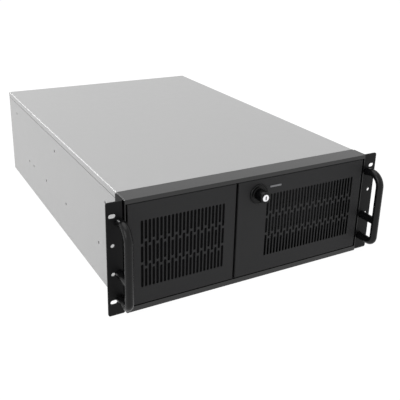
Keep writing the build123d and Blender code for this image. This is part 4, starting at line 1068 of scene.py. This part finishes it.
@dataclass
class DoorLock:
    """The proud cam lock: black barrel and ring, chrome face with its keyhole. Sizes in millimetres."""

    rim: float = 1.4
    mouth: float = 5.6
    mouth_depth: float = 3.0
    mouth_bevel: float = 0.25
    shank_wall: float = 1.15
    face: float = 5.45
    slot_width: float = 2.0
    slot_height: float = 6.4
    slot_depth: float = 0.9

    def build(self) -> None:
        """Turn the barrel, ring and plug, and dress the pieces behind the door."""
        dress_nodes({ZINC_SCREW: ["lock_nut", "lock_cam"]})
        low, high = box_of("lock_barrel")
        ring_low, ring_high = box_of("lock_ring")
        plug_low, plug_high = box_of("lock_plug")
        x, z = (low.x + high.x) / 2, (low.z + high.z) / 2
        back = Vector((0, 1, 0))
        outer, sleeve, long = (high.x - low.x) / 2 / MM, (ring_low.y - low.y) / MM, (high.y - low.y) / MM
        shank = (plug_high.x - plug_low.x) / 2 / MM + self.shank_wall
        rim, mouth, bevel = self.rim, self.mouth, self.mouth_bevel
        barrel = lathe([(0, self.mouth_depth), (mouth, self.mouth_depth), (mouth, bevel), (mouth + bevel, 0),
                        (outer - rim, 0), (outer - rim * 0.3, rim * 0.3), (outer, rim), (outer, sleeve),
                        (shank, sleeve), (shank, long), (0, long)], Vector((x, low.y, z)), back)
        stand_in_for(from_bmesh("turned_lock_barrel", barrel, LOCK_ENAMEL), "lock_barrel")
        broad, thick = (ring_high.x - ring_low.x) / 2 / MM, (ring_high.y - ring_low.y) / MM
        groove = thick * 0.3
        ring = lathe([(0, 0), (outer + 1.2, 0), (outer + 2.0, groove), (broad - 2.2, groove),
                      (broad - 1.4, 0), (broad - 0.5, 0.3), (broad, 1.0), (broad, thick), (0, thick)],
                     Vector((x, ring_low.y, z)), back, 72)
        stand_in_for(from_bmesh("turned_lock_ring", ring, LOCK_ENAMEL), "lock_ring")
        plug = self.plug(Vector((x, plug_low.y, z)), (plug_high.y - plug_low.y) / MM)
        stand_in_for(from_bmesh("chrome_plug", plug, LOCK_CHROME), "lock_plug")
        # Metal wafers in the key slot, darkened by painted shade deep in the keyway
        wafers = rounded_plate(self.slot_width, self.slot_height, 0.4, self.slot_width * 0.48, 0.05,
                               Vector((x, plug_low.y + self.slot_depth * MM, z)))
        ride_and_slot(from_bmesh("key_slot_wafers", wafers, KEYWAY_DARK), "lock_plug")

    def plug(self, front: Vector, long: float, sides: int = 64) -> Shape:
        """The plug with a soft rim and a key slot.

        Args:
            front: Middle of its face, in metres.
            long: Its length in millimetres.
            sides: Faces round it.

        Returns:
            The closed shape.
        """
        half, cap = self.slot_width / 2, self.slot_height / 2 - self.slot_width / 2
        slot = []
        for angle in round_steps(sides):
            c, s = abs(math.cos(angle)), abs(math.sin(angle))
            reach = half / c if c > MERGE and half / c * s <= cap else 0.0
            if not reach:
                along = s * cap
                reach = along + math.sqrt(max(0.0, along * along - cap * cap + half * half))
            slot.append((angle, reach))
        bevel, lip, floor = 0.5, 0.12, self.slot_depth + 0.6
        rows = []
        for radius, depth in ((0.0, floor), (None, floor), (None, lip), (self.face - bevel, 0.0),
                              (self.face, bevel), (self.face, long)):
            row = []
            for angle, reach in slot[:1] if radius == 0.0 else slot:
                wide = reach if radius is None else radius
                row.append(front + Vector((wide * math.cos(angle), depth, wide * math.sin(angle))) * MM)
            rows.append(row)
        return skin(rows, last=True)


@dataclass
class Handles:
    """Two round-bar handles, each swept along its bends with a third leg. Sizes in millimetres."""

    top_rise: float = 7.0
    top_bend: float = 20.0
    bottom_bend: float = 11.0
    sides: int = 40

    def recipe(self) -> NodeRecipe:
        """A tree that fillets each corner by its own radius and sweeps a round bar along the path."""
        recipe = NodeRecipe("bent_round_bar")
        size = recipe.inputs({"Bar Radius": 0.0062, "Sides": self.sides, "Bend Steps": 14})
        tree = recipe.tree
        path = add_node(tree, "GeometryNodeMeshToCurve", {"Mesh": size["Geometry"]})
        bend = add_node(tree, "GeometryNodeInputNamedAttribute", {"Name": "bend"}, data_type="FLOAT")
        rounded = add_node(tree, "GeometryNodeFilletCurve", {
            "Curve": path, "Count": size["Bend Steps"], "Radius": bend, "Limit Radius": True}, mode="POLY")
        section = add_node(tree, "GeometryNodeCurvePrimitiveCircle", {
            "Resolution": size["Sides"], "Radius": size["Bar Radius"]})
        recipe.close(add_node(tree, "GeometryNodeCurveToMesh", {
            "Curve": rounded, "Profile Curve": section, "Fill Caps": True}))
        return recipe

    def build(self) -> None:
        """Replace both plain bars by smooth ones of the same size and place."""
        recipe = self.recipe()
        for side in Side:
            node = f"{side.value}_handle"
            low, high = box_of(node)
            radius = (high.x - low.x) / 2
            x = (low.x + high.x) / 2
            front, back = low.y + radius, high.y
            bottom, middle, top = sorted((a.z + b.z) / 2 for a, b in solids_of("handle_screws")
                                         if (a.x < 0) == (x < 0))
            upper = top + self.top_rise * MM
            mesh = bpy.data.meshes.new(node)
            mesh.from_pydata([(x, back, top), (x, front, upper), (x, front, bottom), (x, back, bottom),
                              (x, back, middle), (x, front, middle)], [(0, 1), (1, 2), (2, 3), (4, 5)], [])
            bend = mesh.attributes.new("bend", "FLOAT", "POINT")
            for place, value in {1: self.top_bend, 2: self.bottom_bend}.items():
                bend.data[place].value = value * MM
            piece = recipe.make(f"{node}_bar", mesh, {"Bar Radius": radius}, BAR_ENAMEL)
            stand_in_for(piece, node)


@dataclass
class Fan:
    """One fan: its moulded frame, its bladed rotor and the bare label on its hub.

    Sizes are in millimetres and angles in degrees. The hub is given as a share of the frame's width,
    and a blade's chord as shares of the room it has, at its root and at its tip.
    """

    name: str
    frame_node: str
    rotor_node: str
    duct_inset: float = 1.7
    flange: float = 4.0
    wall: float = 2.2
    corner_share: float = 0.07
    hub_share: float = 0.165
    seat: float = 3.0
    seat_bevel: float = 0.6
    seat_proud: float = 0.2
    strut: tuple[float, float] = (2.6, 3.0)
    label_inset: float = 2.0
    tip_gap: float = 1.2
    blades: int = 7
    blade_skin: float = 0.9
    blade_room: float = 0.92
    root_chord: float = 0.86
    tip_chord: float = 0.96
    camber: float = 0.09
    root_pitch: float = 52.0
    tip_pitch: float = 28.0
    sweep: float = 12.0
    centre: Vector = field(init=False)
    half: float = field(init=False)
    hub: float = field(init=False)

    def __post_init__(self) -> None:
        """Measure the CAD frame: its middle, half its width and the hub's radius, in metres."""
        low, high = box_of(self.frame_node)
        self.centre = (low + high) / 2
        self.half = (high.x - low.x) / 2
        self.hub = (high.x - low.x) * self.hub_share

    def outline(self, angle: float) -> float:
        """How far a square with rounded corners reaches at an angle, in metres."""
        x, z = abs(math.cos(angle)), abs(math.sin(angle))
        reach = self.half / max(x, z)
        corner = self.corner_share * self.half
        middle = self.half - corner
        if min(x, z) * reach > middle:
            along = (x + z) * middle
            reach = along + math.sqrt(max(0.0, along * along - 2 * middle * middle + corner * corner))
        return reach

    def housing(self, sides: int = 96) -> Shape:
        """The square frame: two flanges, a round duct with a waist between them, struts and motor seat."""
        low, high = box_of(self.frame_node)
        depth, flange, square = high.y - low.y, self.flange * MM, math.inf
        duct = self.half - self.duct_inset * MM
        waist = duct + self.wall * MM
        rows = []
        for limit, back in ((duct, 0.0), (square, 0.0), (square, flange), (waist, flange),
                            (waist, depth - flange), (square, depth - flange), (square, depth),
                            (duct, depth)):
            row = []
            for angle in round_steps(sides):
                reach = min(limit, self.outline(angle))
                row.append(Vector((self.centre.x + reach * math.cos(angle), low.y + back,
                                   self.centre.z + reach * math.sin(angle))))
            rows.append(row)
        shape = skin(rows, ring=True)
        self.add_struts(shape, duct, high.y)
        return shape

    def add_struts(self, shape: Shape, duct: float, back: float) -> None:
        """Add the motor seat and the four struts that carry it, at the back of the duct."""
        hub = self.hub / MM
        seat = lathe([(0, 0), (hub - self.seat_bevel, 0), (hub, self.seat_bevel), (hub, self.seat),
                      (0, self.seat)],
                     Vector((self.centre.x, back - self.seat_proud * MM, self.centre.z)), Vector((0, -1, 0)))
        mesh = mesh_of("seat", seat)
        shape.from_mesh(mesh)
        bpy.data.meshes.remove(mesh)
        thick, tall = (size * MM for size in self.strut)
        middle = Matrix.Translation(Vector((self.centre.x, back - self.seat_proud * MM - tall / 2,
                                            self.centre.z)))
        for turn in range(4):
            spin = Matrix.Rotation(-math.pi / 4 - math.pi / 2 * turn, 4, "Y")
            reach = Matrix.Translation(Vector(((self.hub + duct) / 2, 0, 0)))
            size = Matrix.Diagonal((duct - self.hub + MM, thick, tall, 1.0))
            bmesh.ops.create_cube(shape, size=1.0, matrix=middle @ spin @ reach @ size)

    def blade(self, inner: float, outer: float, depth: float) -> Shape:
        """One twisted and swept blade round a fan axis along Y at the origin.

        Args:
            inner: Radius of its root in metres.
            outer: Radius of its tip in metres.
            depth: Room along the axis in metres.

        Returns:
            A closed blade with a rounded leading edge.
        """
        shape = bmesh.new()
        spans, chords = 8, 8
        skins = []
        for face in (1, -1):
            rows = []
            for span in range(spans + 1):
                share = span / spans
                radius = inner + (outer - inner) * share
                pitch = math.radians(self.root_pitch + (self.tip_pitch - self.root_pitch) * share)
                widest = min(depth / math.sin(pitch), math.tau * outer / self.blades * self.blade_room)
                chord = widest * (self.root_chord + (self.tip_chord - self.root_chord) * share)
                lead = math.radians(self.sweep) * share * share
                row = []
                for step in range(chords + 1):
                    along = step / chords - 0.5
                    across = along * chord
                    lift = self.camber * chord * (1 - 4 * along * along)
                    lift += face * self.blade_skin * MM / 2 * math.sqrt(max(0.0, 1 - (2 * along) ** 4))
                    rise = across * math.sin(pitch) + lift * math.cos(pitch)
                    rise = max(-depth / 2, min(depth / 2, rise))
                    angle = lead + (across * math.cos(pitch) - lift * math.sin(pitch)) / radius
                    row.append(shape.verts.new((radius * math.cos(angle), rise, radius * math.sin(angle))))
                rows.append(row)
            skins.append(rows)
        front, back = skins
        strips = [pair for rows in skins for pair in zip(rows, rows[1:])]
        for first, second in strips + [(front[0], back[0]), (front[-1], back[-1])]:
            for step in range(chords):
                shape.faces.new([first[step], first[step + 1], second[step + 1], second[step]])
        bmesh.ops.remove_doubles(shape, verts=shape.verts, dist=MERGE)
        bmesh.ops.dissolve_degenerate(shape, edges=shape.edges, dist=MERGE / 10)
        bmesh.ops.recalc_face_normals(shape, faces=shape.faces)
        return shape

    def build(self, recipe: NodeRecipe) -> None:
        """Replace the plain frame and rotor, and stick the label on the hub."""
        body = from_bmesh(f"{self.name}_housing", self.housing(), FAN_PLASTIC)
        stand_in_for(body, self.frame_node)
        root_share, room_share = 0.93, 0.94
        low, high = box_of(self.rotor_node)
        depth = high.y - low.y
        tip = self.half - (self.duct_inset + self.tip_gap) * MM
        mesh = mesh_of(f"{self.name}_blade", self.blade(self.hub * root_share, tip, depth * room_share))
        values = {"Blades": self.blades, "Hub Radius": self.hub, "Hub Depth": depth,
                  "Centre": Vector((self.centre.x, (low.y + high.y) / 2, self.centre.z))}
        rotor = recipe.make(f"{self.name}_rotor", mesh, values, FAN_PLASTIC)
        stand_in_for(rotor, self.rotor_node)
        self.stick_label(Vector((self.centre.x, box_of(self.frame_node)[1].y, self.centre.z)))

    def stick_label(self, spot: Vector) -> None:
        """Put a bare round label on the back of the motor seat."""
        radius = self.hub / MM - self.label_inset
        sunk, proud = -0.1, 0.12
        shape = lathe([(0, sunk), (radius, sunk), (radius, proud), (0, proud)],
                      spot - Vector((0, self.seat_proud * MM, 0)), Vector((0, 1, 0)))
        label = from_bmesh(f"{self.name}_bare_label", shape, LABEL_PAPER)
        ride_and_slot(label, self.frame_node)


@dataclass
class WireGuard:
    """The round-wire guards of one CAD node. Sizes in millimetres.

    The widest ring is given as a share of the distance from the middle to a screw.
    """

    node: str
    hole_spacing: float
    widest: float
    inner: float = 8.0
    pitch: float = 5.2
    wire: float = 1.5
    eye: float = 3.9
    fewest_rings: int = 4

    def build(self, recipe: NodeRecipe) -> None:
        """Replace the node's flat guards by round-wire ones."""
        spots = [(low + high) / 2 for low, high in solids_of(self.node)]
        reach = self.hole_spacing / math.sqrt(2)
        outer = reach * self.widest
        rings = max(self.fewest_rings, round((outer - self.inner) / self.pitch) + 1)
        values = {"Inner Radius": self.inner * MM, "Outer Radius": outer * MM,
                  "Wire Radius": self.wire / 2 * MM, "Eye Radius": self.eye * MM, "Eye Reach": reach * MM,
                  "Rings": rings}
        carrier = point_carrier(self.node, spots, [Vector((0, 1, 0))] * len(spots))
        piece = recipe.make(f"{self.node}_wire", carrier, values, ZINC_SCREW)
        stand_in_for(piece, self.node)


@dataclass
class Fans:
    """The three fans with their wire guards. The bevel of the hubs is in millimetres."""

    hub_bevel: float = 1.2
    guards: tuple[WireGuard, ...] = (
        WireGuard("front_fan_guard", 105.0, 0.74),
        WireGuard("rear_fan_guards", 71.5, 0.72),
    )

    def rotor_recipe(self) -> NodeRecipe:
        """A tree that sets copies of a blade round a hub cup, on an axis along Y."""
        recipe = NodeRecipe("bladed_rotor")
        size = recipe.inputs({"Hub Radius": 0.013, "Hub Depth": 0.02, "Blades": 7, "Centre": (0.0, 0.0, 0.0)})
        tree, radius, bevel = recipe.tree, size["Hub Radius"], self.hub_bevel * MM
        index = add_node(tree, "GeometryNodeInputIndex")
        turn = add_node(tree, "FunctionNodeAxisAngleToRotation", {
            "Axis": (0.0, 1.0, 0.0), "Angle": ("MULTIPLY", index, ("DIVIDE", math.tau, size["Blades"]))})
        blades = add_node(tree, "GeometryNodeInstanceOnPoints", {
            "Points": add_node(tree, "GeometryNodePoints", {"Count": size["Blades"]}),
            "Instance": size["Geometry"], "Rotation": turn})
        real = add_node(tree, "GeometryNodeRealizeInstances", {"Geometry": blades})
        body = ("SUBTRACT", size["Hub Depth"], bevel)
        cup = upright_rod(tree, 64, radius, ("MULTIPLY", body, -0.5), body)
        cone = add_node(tree, "GeometryNodeMeshCone", {
            "Vertices": 64, "Radius Top": ("SUBTRACT", radius, bevel), "Radius Bottom": radius,
            "Depth": bevel})
        nose = add_node(tree, "GeometryNodeTransform", {
            "Geometry": cone, "Translation": (0.0, 0.0, ("MULTIPLY", body, 0.5))})
        laid = add_node(tree, "GeometryNodeTransform", {
            "Geometry": add_node(tree, "GeometryNodeJoinGeometry", {0: [cup, nose]}),
            "Rotation": (math.pi / 2, 0.0, 0.0)})
        whole = add_node(tree, "GeometryNodeJoinGeometry", {0: [real, laid]})
        recipe.close(add_node(tree, "GeometryNodeTransform", {
            "Geometry": whole, "Translation": size["Centre"]}), 35.0)
        return recipe

    def guard_recipe(self) -> NodeRecipe:
        """A tree that bends wire guards on points: rings, four spokes and a screw eye on each spoke."""
        recipe = NodeRecipe("wire_fan_guards")
        size = recipe.inputs({"Inner Radius": 0.01, "Outer Radius": 0.038, "Wire Radius": 0.00075,
                              "Eye Radius": 0.0039, "Eye Reach": 0.05, "Rings": 6, "Sides": 8})
        tree, inner, reach = recipe.tree, size["Inner Radius"], size["Eye Reach"]
        index = add_node(tree, "GeometryNodeInputIndex")
        share = ("DIVIDE", index, ("SUBTRACT", size["Rings"], 1.0))
        radius = ("ADD", ("MULTIPLY", share, ("SUBTRACT", size["Outer Radius"], inner)), inner)
        rings = add_node(tree, "GeometryNodeInstanceOnPoints", {
            "Points": add_node(tree, "GeometryNodePoints", {"Count": size["Rings"]}),
            "Instance": add_node(tree, "GeometryNodeCurvePrimitiveCircle", {"Resolution": 72, "Radius": 1.0}),
            "Scale": (radius, radius, 1.0)})
        spoke = add_node(tree, "GeometryNodeCurvePrimitiveLine", {
            "Start": (inner, 0.0, 0.0), "End": (("SUBTRACT", reach, size["Eye Radius"]), 0.0, 0.0)})
        loop = add_node(tree, "GeometryNodeCurvePrimitiveCircle", {
            "Resolution": 24, "Radius": size["Eye Radius"]})
        eye = add_node(tree, "GeometryNodeTransform", {"Geometry": loop, "Translation": (reach, 0.0, 0.0)})
        turn = add_node(tree, "FunctionNodeAxisAngleToRotation", {
            "Axis": (0.0, 0.0, 1.0), "Angle": ("ADD", ("MULTIPLY", index, math.pi / 2), math.pi / 4)})
        arms = add_node(tree, "GeometryNodeInstanceOnPoints", {
            "Points": add_node(tree, "GeometryNodePoints", {"Count": 4}),
            "Instance": add_node(tree, "GeometryNodeJoinGeometry", {0: [spoke, eye]}), "Rotation": turn})
        wires = add_node(tree, "GeometryNodeJoinGeometry", {0: [rings, arms]})
        real = add_node(tree, "GeometryNodeRealizeInstances", {"Geometry": wires})
        section = add_node(tree, "GeometryNodeCurvePrimitiveCircle", {
            "Resolution": size["Sides"], "Radius": size["Wire Radius"]})
        guard = add_node(tree, "GeometryNodeCurveToMesh", {
            "Curve": real, "Profile Curve": section, "Fill Caps": True})
        recipe.close(set_on_points(tree, size["Geometry"], guard), 60.0)
        return recipe

    def build(self) -> None:
        """Build the fans and their guards."""
        rotor = self.rotor_recipe()
        Fan("front_fan", "front_fan_frame", "front_fan_rotor").build(rotor)
        for side in Side:
            Fan(f"rear_fan_{side.value}", f"rear_fan_frame_{side.value}",
                f"rear_fan_rotor_{side.value}").build(rotor)
        recipe = self.guard_recipe()
        for guard in self.guards:
            guard.build(recipe)


def main() -> None:
    """Build the scene."""
    logging.basicConfig(level=logging.INFO, format="%(name)s %(message)s")
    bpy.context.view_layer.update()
    PhotoCamera().build(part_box("right_ear")[0][1])
    for assembly in (Studio(), Enclosure(), Doors(), DoorLock(), Handles(), Fans(), Thumbscrews()):
        assembly.build()
    # The control panel with its board, buttons, lamps and sockets keeps the CAD's shapes
    dress_nodes({PANEL_PLASTIC: ["control_panel"], BOARD_MASK: ["control_board"],
                 BUTTON_PLASTIC: ["power_button", "reset_button"], GREEN_LENS: ["power_lamp"],
                 AMBER_LENS: ["disk_lamp"], TINNED_SHELL: ["usb_port_1", "usb_port_2"]})
    recipe = screw_recipe()
    for screws in (ScrewSet("handle_screws", facing=Facing.BACKWARD),
                   ScrewSet("ear_screws", BLACK_SCREW, "black_screw", Axis.X),
                   ScrewSet("fan_screws", BLACK_SCREW, "black_screw"),
                   ScrewSet("slot_cover_screws"),
                   ScrewSet("filter_fixings", facing=Facing.BACKWARD),
                   ScrewSet("cam_screw", facing=Facing.BACKWARD)):
        screws.build(recipe)
    bpy.context.scene.view_settings.view_transform = "Standard"


if __name__ == "__main__":
    main()
